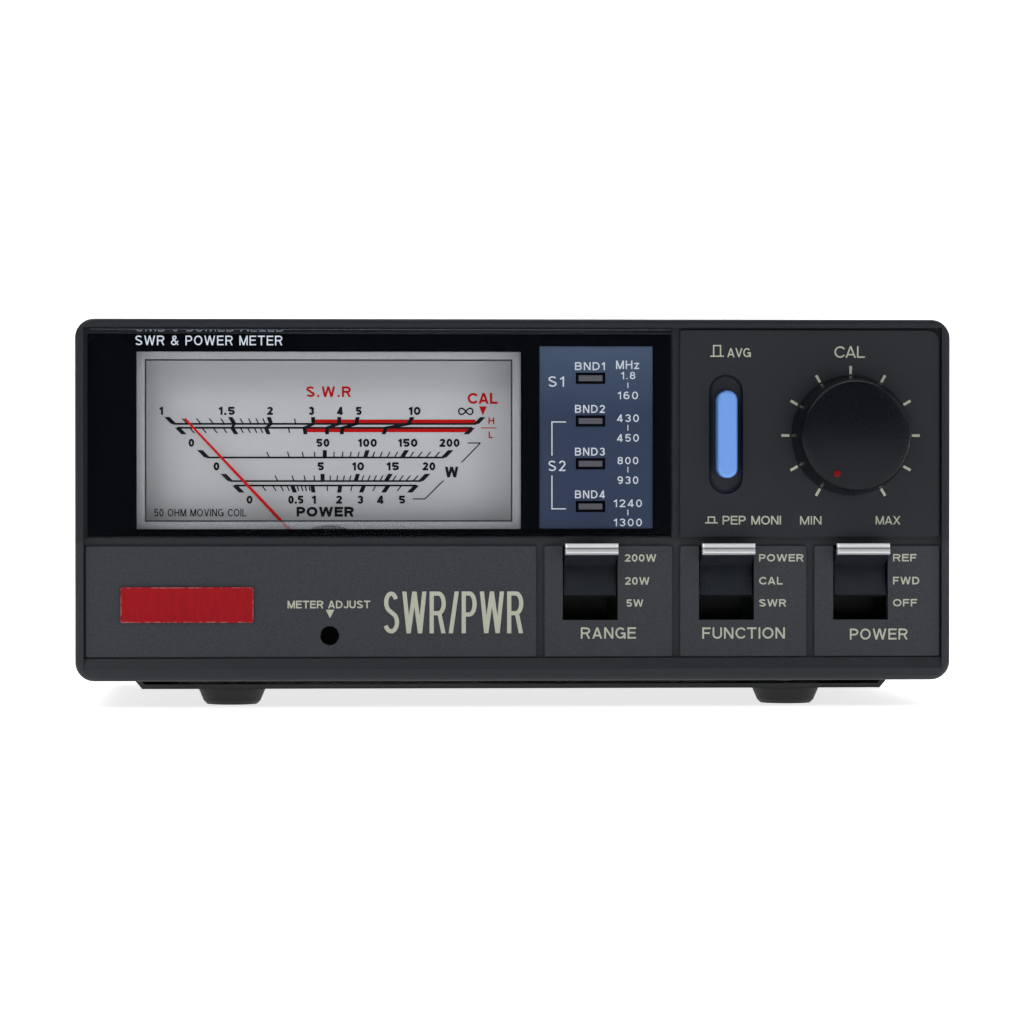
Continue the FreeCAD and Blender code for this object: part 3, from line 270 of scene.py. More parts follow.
def dial_paint():
    """Matt grey-white dial with painted shade, a little darker to the left where the window's frame shades
    it, and a faint paper-like tooth.
    """
    graph = Graph("dial_grey")
    # painted shade: the dial grows a little darker towards the left, for the shadow of the window's frame
    side = graph.remap(graph.axis("X"), 0, 1, -66 * MM, -14 * MM)
    tone = graph.mix(side, linear(195, 196, 197), linear(198, 199, 200))
    tooth = graph.noise(0.3, detail=3.0)
    graph.paint(graph.mix(graph.remap(tooth, 0, 0.12), tone, linear(170, 172, 175)))
    graph.roughen(graph.remap(tooth, 0.5, 0.62))
    graph.bump(tooth, 0.004)
    return graph


def band_sheet():
    """The dark blue printed sheet, lighter towards its top."""
    graph = Graph("band_blue")
    up = graph.remap(graph.axis("Z"), 0, 1, 52 * MM, 64 * MM)
    tone = graph.mix(up, linear(52, 64, 88), linear(72, 88, 112))
    fine = graph.noise(0.3, detail=3.0)
    graph.paint(graph.mix(graph.remap(fine, 0, 0.1), tone, linear(20, 30, 50)))
    graph.roughen(graph.remap(fine, 0.45, 0.55))
    return graph.set(Specular_IOR_Level=0.15)


def cap_metal():
    """Plated lever caps, with a painted highlight that makes them bright above and a little greyer below,
    and painted shade for the groove along the middle.
    """
    graph = Graph("cap_silver")
    lines = graph.noise(0.2, detail=3.0, stretch=(0.04, 1, 1))
    # painted highlight: the cap grows brighter towards its top
    height = graph.remap(graph.axis("Z"), 0, 1, 28.0 * MM, 28.6 * MM)
    tone = graph.mix(height, linear(206, 208, 210), linear(250, 251, 252))
    # painted shade of the groove along the middle of the cap
    middle = graph.between("Z", 28.1, 28.4, 0.12)
    graph.paint(graph.mix(middle, tone, linear(120, 122, 126)))
    graph.roughen(graph.remap(lines, 0.34, 0.46))
    graph.bump(lines, 0.002)
    return graph.set(Metallic=0.45, Specular_IOR_Level=0.8)


def meter_cover_clear():
    """The meter's clear cover, whose border round the raised face looks pale and slightly milky."""
    graph = clear("meter_clear", (0.985, 0.985, 0.99, 1), 0.04, 1.1)
    raised = graph.window(*COVER_FACE, 0.03)
    milky = graph.node("ShaderNodeBsdfDiffuse")
    fine = graph.noise(3.0, detail=2.0)
    graph.feed(milky.inputs["Color"], graph.mix(fine, linear(214, 217, 222), linear(228, 230, 234)))
    mixed = graph.node("ShaderNodeMixShader")
    graph.feed(mixed.inputs[0], graph.remap(raised, 0.22, 0.0, 0.0, 1.0))
    graph.feed(mixed.inputs[1], graph.surface)
    graph.feed(mixed.inputs[2], milky.outputs[0])
    graph.show(mixed.outputs[0])
    return graph


def threaded_nickel():
    """Nickel plate, with the turned thread of the barrel behind the flange."""
    graph = brushed("socket_nickel", linear(200, 196, 186), 0.24)
    half_pitch = 0.53 * MM
    turns = graph.maths("PINGPONG", graph.axis("Y"), half_pitch)
    ridges = graph.remap(turns, 0, 1, 0, half_pitch)
    graph.bump(graph.maths("MULTIPLY", ridges, graph.between("Y", 51.6, 61.6, 0.2)), 0.35)
    return graph


def print_ink(name, color):
    """Printing ink, nearly even in tone, with hardly any shine."""
    graph = Graph(name)
    thin = graph.noise(0.35, detail=3.0)
    dark, light = shades(color, 0.08)
    graph.paint(graph.mix(graph.remap(thin, 0, 1), dark, light))
    graph.roughen(graph.remap(thin, 0.45, 0.58))
    return graph.set(Specular_IOR_Level=0.12)


def all_looks():
    """The looks by name. A CAD node's look has the name of its material slot in the record."""
    made = (
        bezel_plastic(), badge_red(), band_sheet(), dial_paint(), cap_metal(), meter_cover_clear(),
        threaded_nickel(),
        clear("pane_clear", (0.985, 0.99, 0.995, 1), 0.03, 1.1),
        # mouldings and paint
        grained("mask_black", linear(3, 5, 10), 0.5, grain=0.5, spread=0.2, depth=0.0,
                Specular_IOR_Level=0.03),
        grained("led_diffuser", linear(82, 79, 86), 0.4, grain=0.2, spread=0.1, depth=0.004),
        grained("led_lens", linear(190, 190, 180), 0.15, grain=0.4, spread=0.05, depth=0.0),
        grained("meter_black", linear(24, 25, 27), 0.45, grain=0.2),
        grained("needle_red", linear(200, 18, 14), 0.4, grain=0.3, spread=0.06, depth=0.002,
                Specular_IOR_Level=0.15),
        grained("lever_black", linear(23, 28, 35), 0.32, grain=0.22, spread=0.15, depth=0.006),
        grained("switch_body", linear(20, 21, 23), 0.5, grain=0.3),
        grained("button_blue", linear(104, 152, 226), 0.35, grain=0.35, spread=0.04, depth=0.003,
                Coat_Weight=0.15, Coat_Roughness=0.2),
        grained("knob_black", linear(12, 15, 21), 0.26, grain=0.4, spread=0.1, depth=0.0, wander=0.04,
                Specular_IOR_Level=0.16),
        grained("board_green", linear(30, 84, 50), 0.3, grain=0.6, spread=0.15, depth=0.01),
        grained("chassis_paint", linear(13, 16, 20), 0.42, grain=0.3, spread=0.2, depth=0.02),
        grained("cover_paint", linear(40, 43, 48), 0.5, grain=0.35, spread=0.25, depth=0.035, wander=0.03),
        grained("foot_rubber", linear(13, 15, 18), 0.62, grain=0.4, spread=0.15, depth=0.012),
        grained("screw_black", linear(32, 33, 35), 0.35, grain=0.2, spread=0.15, depth=0.004, Metallic=0.7),
        grained("insulator_white", linear(228, 226, 218), 0.4, grain=0.5, spread=0.04, depth=0.004),
        grained("jack_black", linear(24, 24, 26), 0.4, grain=0.25),
        # bare and plated metal
        brushed("iron", linear(120, 120, 122), 0.35),
        brushed("coil_copper", linear(184, 115, 70), 0.3, along="Y"),
        brushed("spring_bronze", linear(190, 150, 90), 0.3),
        brushed("spring_steel", linear(190, 190, 195), 0.25, along="Y"),
        brushed("shaft_metal", linear(190, 190, 190), 0.3),
        brushed("pot_metal", linear(175, 175, 172), 0.35),
        brushed("screw_zinc", linear(190, 190, 184), 0.3),
        brushed("tin_plate", linear(180, 180, 178), 0.35),
        brushed("contact_gold", linear(214, 178, 96), 0.22),
        brushed("coupler_copper", linear(176, 120, 80), 0.3),
        # printing
        print_ink("ink_cream", linear(176, 178, 163)),
        print_ink("ink_white", linear(205, 214, 226)),
        print_ink("ink_black", linear(20, 22, 27)),
        print_ink("ink_red", linear(188, 10, 10)),
        print_ink("dot_red", linear(112, 3, 9)),
        print_ink("ink_pale", linear(212, 220, 226)),
        # painted shade along the step of the meter cover
        print_ink("step_shade_grey", linear(58, 60, 64)),
        # the lip over the pane, its painted highlight line and its painted reflection of the heading
        grained("lip_gloss", linear(20, 25, 32), 0.16, grain=0.6, spread=0.1, depth=0.0),
        grained("lip_painted_highlight", linear(74, 82, 94), 0.3, grain=0.6, spread=0.2, depth=0.0),
        grained("lip_painted_reflection", linear(122, 134, 146), 0.4, grain=0.4, spread=0.15, depth=0.0),
    )
    return {graph.name: graph.material for graph in made}


LOOKS = all_looks()
IN_SHADE = ("zero_adjuster", "meter_bridge")      # small parts blackened against stray light

for entry in frame["record"]["subparts"]:
    look = "mask_black" if entry["node"] in IN_SHADE else entry["material_slot"]
    for holder in nodes[entry["node"]].material_slots:
        holder.material = LOOKS[look]


# ---------------------------------------------------------------- printed pieces

class Sheet:
    """Printing gathered into one thin piece on a plane, drawn in millimetres as its reader sees it.

    The plane faces -Y, or +Y for a sheet on the back, where drawn x runs along -X.
    """

    def __init__(self, face, thick=PRINT, sunk=SKIN, back=False):
        self.mesh = bmesh.new()
        self.count = 0
        self.turn = -1 if back else 1
        self.outer = face - self.turn * thick
        self.inner = face + self.turn * sunk

    def corner(self, x, z, outer):
        """A corner; strokes that overlap stand at slightly different heights, so no two faces coincide."""
        lift = self.turn * STAGGER * (self.count % 6)
        depth = self.outer - lift if outer else self.inner
        return self.mesh.verts.new((self.turn * x * MM, depth, z * MM))

    def polygon(self, points):
        """A closed flat outline as a thin solid."""
        self.count += 1
        front = [self.corner(x, z, True) for x, z in points]
        back = [self.corner(x, z, False) for x, z in points]
        self.mesh.faces.new(front)
        self.mesh.faces.new(list(reversed(back)))
        for i in range(len(points)):
            j = (i + 1) % len(points)
            self.mesh.faces.new((front[j], front[i], back[i], back[j]))

    def run(self, points, width, closed=False):
        """A stroke of even width along the points, with square ends and mitred bends, cut short if sharp."""
        self.count += 1
        count = len(points)
        rails = []
        for i, here in enumerate(points):
            spans = []
            if closed or i:
                spans.append((points[i - 1], here))
            if closed or i + 1 < count:
                spans.append((here, points[(i + 1) % count]))
            sides = []
            for (x0, z0), (x1, z1) in spans:
                sides.append(Vector((z0 - z1, x1 - x0)).normalized())
            bend = sides[0] + sides[-1]
            bend *= width / 2 / max(0.6, 1 + sides[0].dot(sides[-1]))
            left = here[0] + bend.x, here[1] + bend.y
            right = here[0] - bend.x, here[1] - bend.y
            rails.append([self.corner(*left, True), self.corner(*right, True),
                          self.corner(*right, False), self.corner(*left, False)])
        pairs = list(zip(rails, rails[1:]))
        if closed:
            pairs.append((rails[-1], rails[0]))
        for first, second in pairs:
            for i in range(4):
                j = (i + 1) % 4
                self.mesh.faces.new((first[i], first[j], second[j], second[i]))
        if not closed:
            self.mesh.faces.new(rails[0])
            self.mesh.faces.new(list(reversed(rails[-1])))

    def line(self, x0, z0, x1, z1, width):
        self.run([(x0, z0), (x1, z1)], width)

    def slanted(self, x0, z0, x1, z1, width):
        """A line with level ends."""
        lean = math.atan2(x1 - x0, z1 - z0)
        half = width / 2 / abs(math.cos(lean))
        self.polygon([(x0 - half, z0), (x0 + half, z0), (x1 + half, z1), (x1 - half, z1)])

    def frame(self, x0, x1, z0, z1, width):
        """The outline of a box, with its lines inside it."""
        half = width / 2
        left, right, low, high = x0 + half, x1 - half, z0 + half, z1 - half
        self.run([(left, low), (right, low), (right, high), (left, high)], width, closed=True)

    def box(self, x0, x1, z0, z1):
        self.polygon([(x0, z0), (x1, z0), (x1, z1), (x0, z1)])

    def text(self, words, x0, x1, z0, z1, weight=0.14, gap=0.2):
        """Lettering that fills a box; the stroke weight and the gap are shares of its height."""
        high = abs(z1 - z0)
        half = weight / 2
        widths = [max(LETTER_WIDTHS[sign], weight) for sign in words]
        stretch = (x1 - x0) / high / (sum(widths) + gap * (len(words) - 1))
        cursor = x0
        for sign, width in zip(words, widths):
            for kind, points in strokes(sign, width * stretch, half):
                spots = [(cursor + x * high, z0 + z * (z1 - z0)) for x, z in points]
                if kind == "slant":
                    self.slanted(*spots[0], *spots[1], weight * high)
                else:
                    self.run(spots, weight * high, closed=kind == "loop")
            cursor += (width + gap) * stretch * high

    def centred(self, words, x, z0, z1, width, weight=0.14, gap=0.2):
        self.text(words, x - width / 2, x + width / 2, z0, z1, weight, gap)

    def finish(self, name, look, slot):
        bmesh.ops.recalc_face_normals(self.mesh, faces=self.mesh.faces)
        add_piece(name, self.mesh, look, "case", smooth=False)


LETTER_WIDTHS = {      # as shares of the height of a capital
    "A": 0.86, "B": 0.78, "C": 0.8, "D": 0.82, "E": 0.72, "F": 0.68, "G": 0.88, "H": 0.78, "I": 0.0,
    "J": 0.6, "L": 0.64, "M": 0.92, "N": 0.78, "O": 0.92, "P": 0.74, "R": 0.8, "S": 0.78, "T": 0.78,
    "U": 0.78, "V": 0.84, "W": 1.22, "X": 0.82, "z": 0.58, "&": 0.86, "0": 0.66, "1": 0.36, "2": 0.66,
    "3": 0.66, "4": 0.68, "5": 0.66, "6": 0.66, "8": 0.66, "9": 0.66, ".": 0.0, "/": 0.5, "-": 0.46,
    " ": 0.34,
}


def arc(x, z, wide, high, start, end, steps=14):
    """Points along an ellipse between two angles in degrees."""
    angles = [math.radians(start + (end - start) * i / steps) for i in range(steps + 1)]
    return [(x + wide * math.cos(angle), z + high * math.sin(angle)) for angle in angles]


def ring(x, z, wide, high):
    return "loop", arc(x, z, wide, high, 0, 360, 28)[:-1]


def slant(low, high, base=0.0, top=1.0):
    """A leaning stroke with level ends, from one x at its base to another at its top."""
    return "slant", [(low, base), (high, top)]


def bowl(h, low, high, turn, reach):
    """The round part of a letter, from the stem and back to it."""
    curve = arc(turn, (low + high) / 2, reach - turn, (high - low) / 2, 90, -90)
    return "run", [(h, high), *curve, (h, low)]


def strokes(sign, w, h):
    """The strokes of a plain capital or figure of height 1 and width w, with half the stroke weight h.

    m is the middle, r the line of a stem at the right, and t the line of a bar at the top. e is how far in
    from the side a slanted stroke starts.
    """
    m, r, t, e = w / 2, w - h, 1 - h, 1.15 * h
    left, middle, right = (("run", [(x, 0), (x, 1)]) for x in (h, m, r))
    top, base = (("run", [(0, z), (w, z)]) for z in (t, h))
    drawn = {
        "A": lambda: [slant(e, m), slant(w - e, m), ("run", [(0.2 * w, 0.28), (0.8 * w, 0.28)])],
        "B": lambda: [left, bowl(h, 0.52, t, 0.52 * w, r - 0.03), bowl(h, h, 0.52, 0.52 * w, r)],
        "C": lambda: [("run", arc(1.16 * m, 0.5, 1.16 * m - h, 0.5 - h, 36, 324))],
        "D": lambda: [left, bowl(h, h, t, 0.42 * w, r)],
        "E": lambda: [left, top, base, ("run", [(h, 0.53), (0.93 * w, 0.53)])],
        "F": lambda: [left, top, ("run", [(h, 0.5), (0.9 * w, 0.5)])],
        "G": lambda: [("run", arc(m, 0.5, m - h, 0.5 - h, 42, 345)),
                      ("run", [(m + 0.04, 0.47), (r, 0.47), (r, 0)])],
        "H": lambda: [left, right, ("run", [(h, 0.52), (r, 0.52)])],
        "I": lambda: [middle],
        "J": lambda: [("run", [(r, 1), *arc(m, 0.3, m - h, 0.3 - h, 0, -170)])],
        "L": lambda: [left, base],
        "M": lambda: [left, right, slant(m, e), slant(m, w - e)],
        "N": lambda: [left, right, slant(w - e, e)],
        "O": lambda: [ring(m, 0.5, m - h, 0.5 - h)],
        "P": lambda: [left, bowl(h, 0.45, t, 0.52 * w, r)],
        "R": lambda: [left, bowl(h, 0.48, t, 0.54 * w, r), slant(w - e, 0.6 * w, 0, 0.48)],
        "S": lambda: [("run", arc(m, 0.74, m - h - 0.02, 0.26 - h, 22, 250)
                       + arc(m, 0.265, m - h, 0.265 - h, 70, -158))],
        "T": lambda: [top, middle],
        "U": lambda: [("run", [(h, 1), *arc(m, 0.36, m - h, 0.36 - h, 180, 360), (r, 1)])],
        "V": lambda: [slant(m, e), slant(m, w - e)],
        "W": lambda: [slant(0.27 * w, e), slant(0.27 * w, m), slant(0.73 * w, m), slant(0.73 * w, w - e)],
        "X": lambda: [slant(e, w - e), slant(w - e, e)],
        "z": lambda: [("run", [(0, 0.73 - h), (w, 0.73 - h)]), base, slant(e, w - e, 0, 0.73)],
        "&": lambda: [("run", [(w - e, h / 2), (0.27 * w, 0.68),
                               *arc(0.44 * w, 0.79, 0.2 * w, 0.21 - h, 200, -30),
                               *arc(0.38 * w, 0.27, 0.38 * w - h, 0.27 - h, 140, 300), (w - e, 0.45)])],
        "0": lambda: [ring(m, 0.5, m - h, 0.5 - h)],
        "1": lambda: [right, ("run", [(0, 0.74), (0.4 * w, 0.78), (r, 1 - h)])],
        "2": lambda: [base, ("run", [*arc(m, 0.7, m - h, 0.3 - h, 172, -38), (1.5 * h, h)])],
        "3": lambda: [("run", arc(m, (t + 0.52) / 2, m - h - 0.02, (t - 0.52) / 2, 162, -90)),
                      ("run", arc(m, (h + 0.52) / 2, m - h, (0.52 - h) / 2, 90, -162))],
        "4": lambda: [("run", [(0.72 * w, 0), (0.72 * w, 1)]), ("run", [(0, 0.25), (w, 0.25)]),
                      slant(e, 0.72 * w, 0.25, 1)],
        "5": lambda: [("run", [(w - 0.04, t), (0.2 * w, t), (0.14 * w, 0.46)]),
                      ("run", arc(m, 0.33, m - h, 0.33 - h, 142, -158))],
        "6": lambda: [ring(m, 0.32, m - h, 0.32 - h),
                      ("run", [*arc(m, 0.5, m - h, 0.5 - h, 50, 180), (h, 0.32)])],
        "8": lambda: [ring(m, (t + 0.53) / 2, m - h - 0.03, (t - 0.53) / 2),
                      ring(m, (h + 0.53) / 2, m - h, (0.53 - h) / 2)],
        "9": lambda: [ring(m, 0.68, m - h, 0.32 - h),
                      ("run", [*arc(m, 0.5, m - h, 0.5 - h, 230, 360), (r, 0.68)])],
        ".": lambda: [("run", [(m, 0), (m, 2 * h)])],
        "/": lambda: [slant(h, w - h)],
        "-": lambda: [("run", [(0, 0.42), (w, 0.42)])],
        " ": lambda: [],
    }
    return drawn[sign]()


def add_piece(name, mesh, look, body, smooth=True):
    """Turn a bmesh into a piece with a look, which rides on a body."""
    data = bpy.data.meshes.new(name)
    bmesh.ops.remove_doubles(mesh, verts=mesh.verts, dist=1e-8)
    mesh.to_mesh(data)
    mesh.free()
    piece = bpy.data.objects.new(name, data)
    bpy.context.scene.collection.objects.link(piece)
    data.materials.append(LOOKS[look])
    for polygon in data.polygons:
        polygon.use_smooth = smooth
    if smooth:
        data.set_sharp_from_angle(angle=math.radians(35))
    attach(piece, body)
    return piece


def lathe(points, steps, centre):
    """A turned form: (radius, station) points, in millimetres, spun about a line through the centre.

    Stations count from the centre along -Y.
    """
    mesh = bmesh.new()
    rings = []
    for radius, station in points:
        if radius < 1e-6:
            rings.append([mesh.verts.new((0, 0, station * MM))])
            continue
        rings.append([
            mesh.verts.new((radius * MM * math.cos(2 * math.pi * i / steps),
                            radius * MM * math.sin(2 * math.pi * i / steps), station * MM))
            for i in range(steps)
        ])
    for low, high in zip(rings, rings[1:]):
        for i in range(steps):
            j = (i + 1) % steps
            corners = [low[i % len(low)], low[j % len(low)], high[j % len(high)], high[i % len(high)]]
            mesh.faces.new(list(dict.fromkeys(corners)))
    bmesh.ops.recalc_face_normals(mesh, faces=mesh.faces)
    turn = Vector((0, 0, 1)).rotation_difference(Vector((0, -1, 0))).to_matrix().to_4x4()
    mesh.transform(Matrix.Translation(Vector(centre) * MM) @ turn)
    return mesh


# ---------------------------------------------------------------- meter dial

DIAL_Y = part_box("dial_plate")[0].y
SCALE_CENTRE = (-33.1, 22.8)             # where the rays of the printed scales meet
SCALE_START, SCALE_SWEEP = -44.7, 88.9   # degrees from upright, and the full-scale swing
SWR_POWER = 1.156                        # share of full scale = reflection to this power
LOW_POWER_SHARE = 0.912                  # how much less a ratio reads on the low-power SWR scale
WATT_POWER, MID_WATT_POWER, LOW_WATT_POWER = 0.509, 0.533, 0.562      # the same for shares of full power
H_LINE, L_LINE = 50.3, 49.6              # heights of the lines of the two SWR scales
HIGH_WATT, MID_WATT, LOW_WATT = 44.3, 40.1, 39.3                      # and of the three power scales


def scale_x(share, height):
    """Where the ray of a share of full scale crosses a level line."""
    angle = math.radians(SCALE_START + SCALE_SWEEP * share)
    return SCALE_CENTRE[0] + (height - SCALE_CENTRE[1]) * math.tan(angle)


def swr_share(ratio, low_power=False):
    """The pointer's share of full scale for a standing-wave ratio; None stands for infinity."""
    if ratio is None:
        return 1.0
    reflection = (ratio - 1) / (ratio + 1)
    bend = SWR_POWER if ratio < 10 else 1.0
    return reflection ** bend * (LOW_POWER_SHARE if low_power else 1.0)


def tick(sheet, share, line, length, width):
    """A mark along the ray of a share of full scale."""
    sheet.slanted(scale_x(share, line), line, scale_x(share, line + length), line + length, width)


def scale_numbers(sheet, numbers, share_of, height, rows):
    """A row of numbers, each given with its width and its shift to the right of the ray at a height."""
    for value, (width, shift) in numbers.items():
        x = scale_x(share_of(value), height) + shift
        sheet.centred(f"{value:g}", x, *rows, width, weight=0.26, gap=0.13)


def swr_scale(black, red):
    """Two scales back to back, for high and low power, joined by slanting marks, with red bars past 3."""
    majors = [1, 1.5, 2, 3, 4, 5, 10, None]
    minors = [1.1, 1.2, 1.3, 1.4, 1.6, 1.7, 1.8, 1.9, 2.5]
    for line, up, low_power in ((H_LINE, 1.22, False), (L_LINE, -1.15, True)):
        end = scale_x(1.0, line)
        black.line(scale_x(0, line) - 0.1, line, end, line, 0.34)
        for ratio in majors:
            tick(black, swr_share(ratio, low_power), line, up, 0.7)
        for ratio in minors:
            tick(black, swr_share(ratio, low_power), line, up * 0.8, 0.22)
        start = scale_x(swr_share(3, low_power), line)
        side = math.copysign(1, up)
        red.box(start + 0.3, end - 0.1, *sorted((line + 0.17 * side, line + 0.79 * side)))
    for ratio in majors[1:-1]:
        low, high = scale_x(swr_share(ratio, True), L_LINE), scale_x(swr_share(ratio), H_LINE)
        black.slanted(low, L_LINE, high, H_LINE, 0.5)
    numbers = {1: (0.62, 0.02), 1.5: (2.85, 0.02), 2: (1.02, 0.6), 3: (1.0, -0.2), 4: (1.05, 0.02),
               5: (1.0, 0.02), 10: (2.1, -0.1)}
    middle = 52.55
    scale_numbers(black, numbers, swr_share, middle, (51.9, 53.35))
    infinity(black, scale_x(1.0, middle) - 4.05, middle)


def infinity(sheet, x, z):
    """The infinity sign, as a ribbon along a figure of eight with round lobes."""
    steps, reach, rise = 48, 1.27, 1.56
    spots = []
    for i in range(steps):
        angle = 2 * math.pi * i / steps
        narrow = 1 + math.sin(angle) ** 2
        spots.append((x + reach * math.cos(angle) / narrow, z + rise * math.sin(2 * angle) / 2 / narrow))
    sheet.run(spots, 0.27, closed=True)


def watt_scale(black, line, up, full, power, majors, minors, numbers, rows):
    """A straight power scale: its line, its marks, up or down from the line, and its numbers."""
    def share(watts):
        return (watts / full) ** power

    black.line(scale_x(0, line) - 0.1, line, scale_x(1, line) + 0.1, line, 0.32)
    for watts in majors:
        tick(black, share(watts), line, up, 0.72)
    for watts in minors:
        tick(black, share(watts), line, up * 0.78, 0.21)
    scale_numbers(black, numbers, share, sum(rows) / 2, rows)


def power_scales(black):
    numbers = {0: (1.0, -0.2), 50: (2.3, -0.3), 100: (3.3, -0.4), 150: (3.4, -0.6), 200: (3.6, -1.5)}
    watt_scale(black, HIGH_WATT, 1.32, 200, WATT_POWER, [0, 50, 100, 150, 200],
               [10 * i for i in range(1, 20) if i % 5], numbers, (46.2, 47.65))
    numbers = {0: (1.05, 0.1), 5: (1.1, -0.25), 10: (2.1, -0.35), 15: (2.2, -0.4), 20: (2.3, -1.1)}
    watt_scale(black, MID_WATT, 1.28, 20, MID_WATT_POWER, [0, 5, 10, 15, 20],
               [i for i in range(1, 20) if i % 5], numbers, (42.0, 43.45))
    numbers = {0: (1.05, 0.1), 0.5: (2.7, -0.3), 1: (0.7, -0.1), 2: (1.1, 0.15), 3: (1.1, 0.35),
               4: (1.15, 0.25), 5: (1.1, -0.1)}
    watt_scale(black, LOW_WATT, -1.25, 5, LOW_WATT_POWER, [0, 0.5, 1, 2, 3, 4, 5],
               [0.1, 0.2, 0.3, 0.4, 0.6, 0.7, 0.8, 0.9, 1.5, 2.5, 3.5, 4.5], numbers, (36.05, 37.5))


def dial_printing():
    black, red = Sheet(DIAL_Y, 2 * PRINT), Sheet(DIAL_Y, PRINT / 2)
    swr_scale(black, red)
    power_scales(black)
    red.centred("S.W.R", -32.75, 55.1, 57.0, 8.0, 0.2)
    red.centred("CAL", -5.2, 53.9, 55.85, 5.4, 0.21, 0.08)
    red.polygon([(-5.15, 51.8), (-4.45, 53.45), (-5.85, 53.45)])
    red.centred("H", -3.65, 50.25, 51.45, 1.05, 0.2)
    red.centred("L", -3.75, 47.75, 48.95, 0.75, 0.2)
    red.line(-5.5, 49.6, -2.7, 49.6, 0.18)
    black.centred("W", -10.75, 40.75, 42.65, 2.45, 0.25)
    upper, lower = [(-7.9, 46.9), (-5.6, 46.9), (-9.0, 43.4)], [(-12.2, 40.2), (-15.5, 36.9), (-17.7, 36.9)]
    for bracket in (upper, lower):
        for start, end in zip(bracket, bracket[1:]):
            black.line(*start, *end, 0.2)
    black.centred("POWER", -33.35, 33.75, 35.5, 10.2, 0.26, 0.12)
    black.text("50 OHM MOVING COIL", -63.8, -47.4, 33.8, 35.15, 0.13, 0.16)
    black.finish("dial_marks", "ink_black", "meter_black")
    red.finish("dial_red_marks", "ink_red", "needle_red")


dial_printing()


# ---------------------------------------------------------------- band panel

def band_printing():
    """The four lamps' frames and names, the bands' limits beside them, and which sensor each belongs to."""
    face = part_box("band_panel")[0].y
    pale, frames = Sheet(face), Sheet(face, 2 * PRINT)
    row_pitch = 7.58
    for row in range(4):
        drop = row_pitch * row
        pale.text(f"BND{row + 1}", 10.85, 16.15, 59.8 - drop, 61.2 - drop, 0.15, 0.24)
        frames.frame(10.98, 16.22, 57.35 - drop, 59.35 - drop, 0.48)
    pale.text("MHz", 18.15, 22.25, 60.0, 61.5, 0.14, 0.22)
    column = 20.25
    for words, shift, z0, z1, width in (
        ("1.8", 0.05, 58.2, 59.5, 2.5), ("160", 0, 54.65, 56.0, 3.6),
        ("430", 0, 50.6, 51.95, 3.9), ("450", 0, 47.1, 48.45, 3.9),
        ("800", 0, 43.1, 44.4, 3.7), ("930", 0, 39.6, 40.95, 3.7),
        ("1240", 0, 35.5, 36.85, 5.0), ("1300", 0, 32.1, 33.45, 5.0),
    ):
        pale.centred(words, column + shift, z0, z1, width, 0.15, 0.28)
    for z0, z1 in ((56.65, 57.6), (49.1, 50.1), (41.65, 42.65), (34.05, 35.05)):
        pale.line(column, z0, column, z1, 0.16)
    pale.text("S1", 6.1, 8.9, 56.85, 58.7, 0.13, 0.34)
    pale.text("S2", 6.1, 9.15, 41.9, 43.75, 0.13, 0.3)
    for z0, z1, arm in ((44.65, 50.6, 50.6), (35.2, 41.1, 35.2)):
        pale.line(6.75, z0, 6.75, z1, 0.2)
        pale.line(6.65, arm, 9.25, arm, 0.2)
    pale.finish("band_marks", "ink_pale", "insulator_white")
    frames.finish("lamp_frames", "mask_black", "mask_black")


band_printing()


# ---------------------------------------------------------------- panel lettering

def icon(sheet, x0, x1, z0, z1):
    """A push-button mark: a narrow block standing on a wider line."""
    width, inset = 0.22, (x1 - x0) * 0.2
    sheet.line(x0, z0 + width / 2, x1, z0 + width / 2, width)
    sheet.line(x0 + inset, z1 - width / 2, x1 - inset, z1 - width / 2, width)
    for x in (x0 + inset + width / 2, x1 - inset - width / 2):
        sheet.line(x, z0 + width, x, z1 - width, width)


def round_knob(angle, radius):
    """A place on the panel at a clockwise angle from upright, in degrees, round the knob."""
    turn = math.radians(angle)
    return KNOB_X + radius * math.sin(turn), KNOB_Z + radius * math.cos(turn)


def knob_ticks(sheet):
    for angle in range(-150, 151, 30):
        sheet.line(*round_knob(angle, 10.9), *round_knob(angle, 12.35), 0.46)


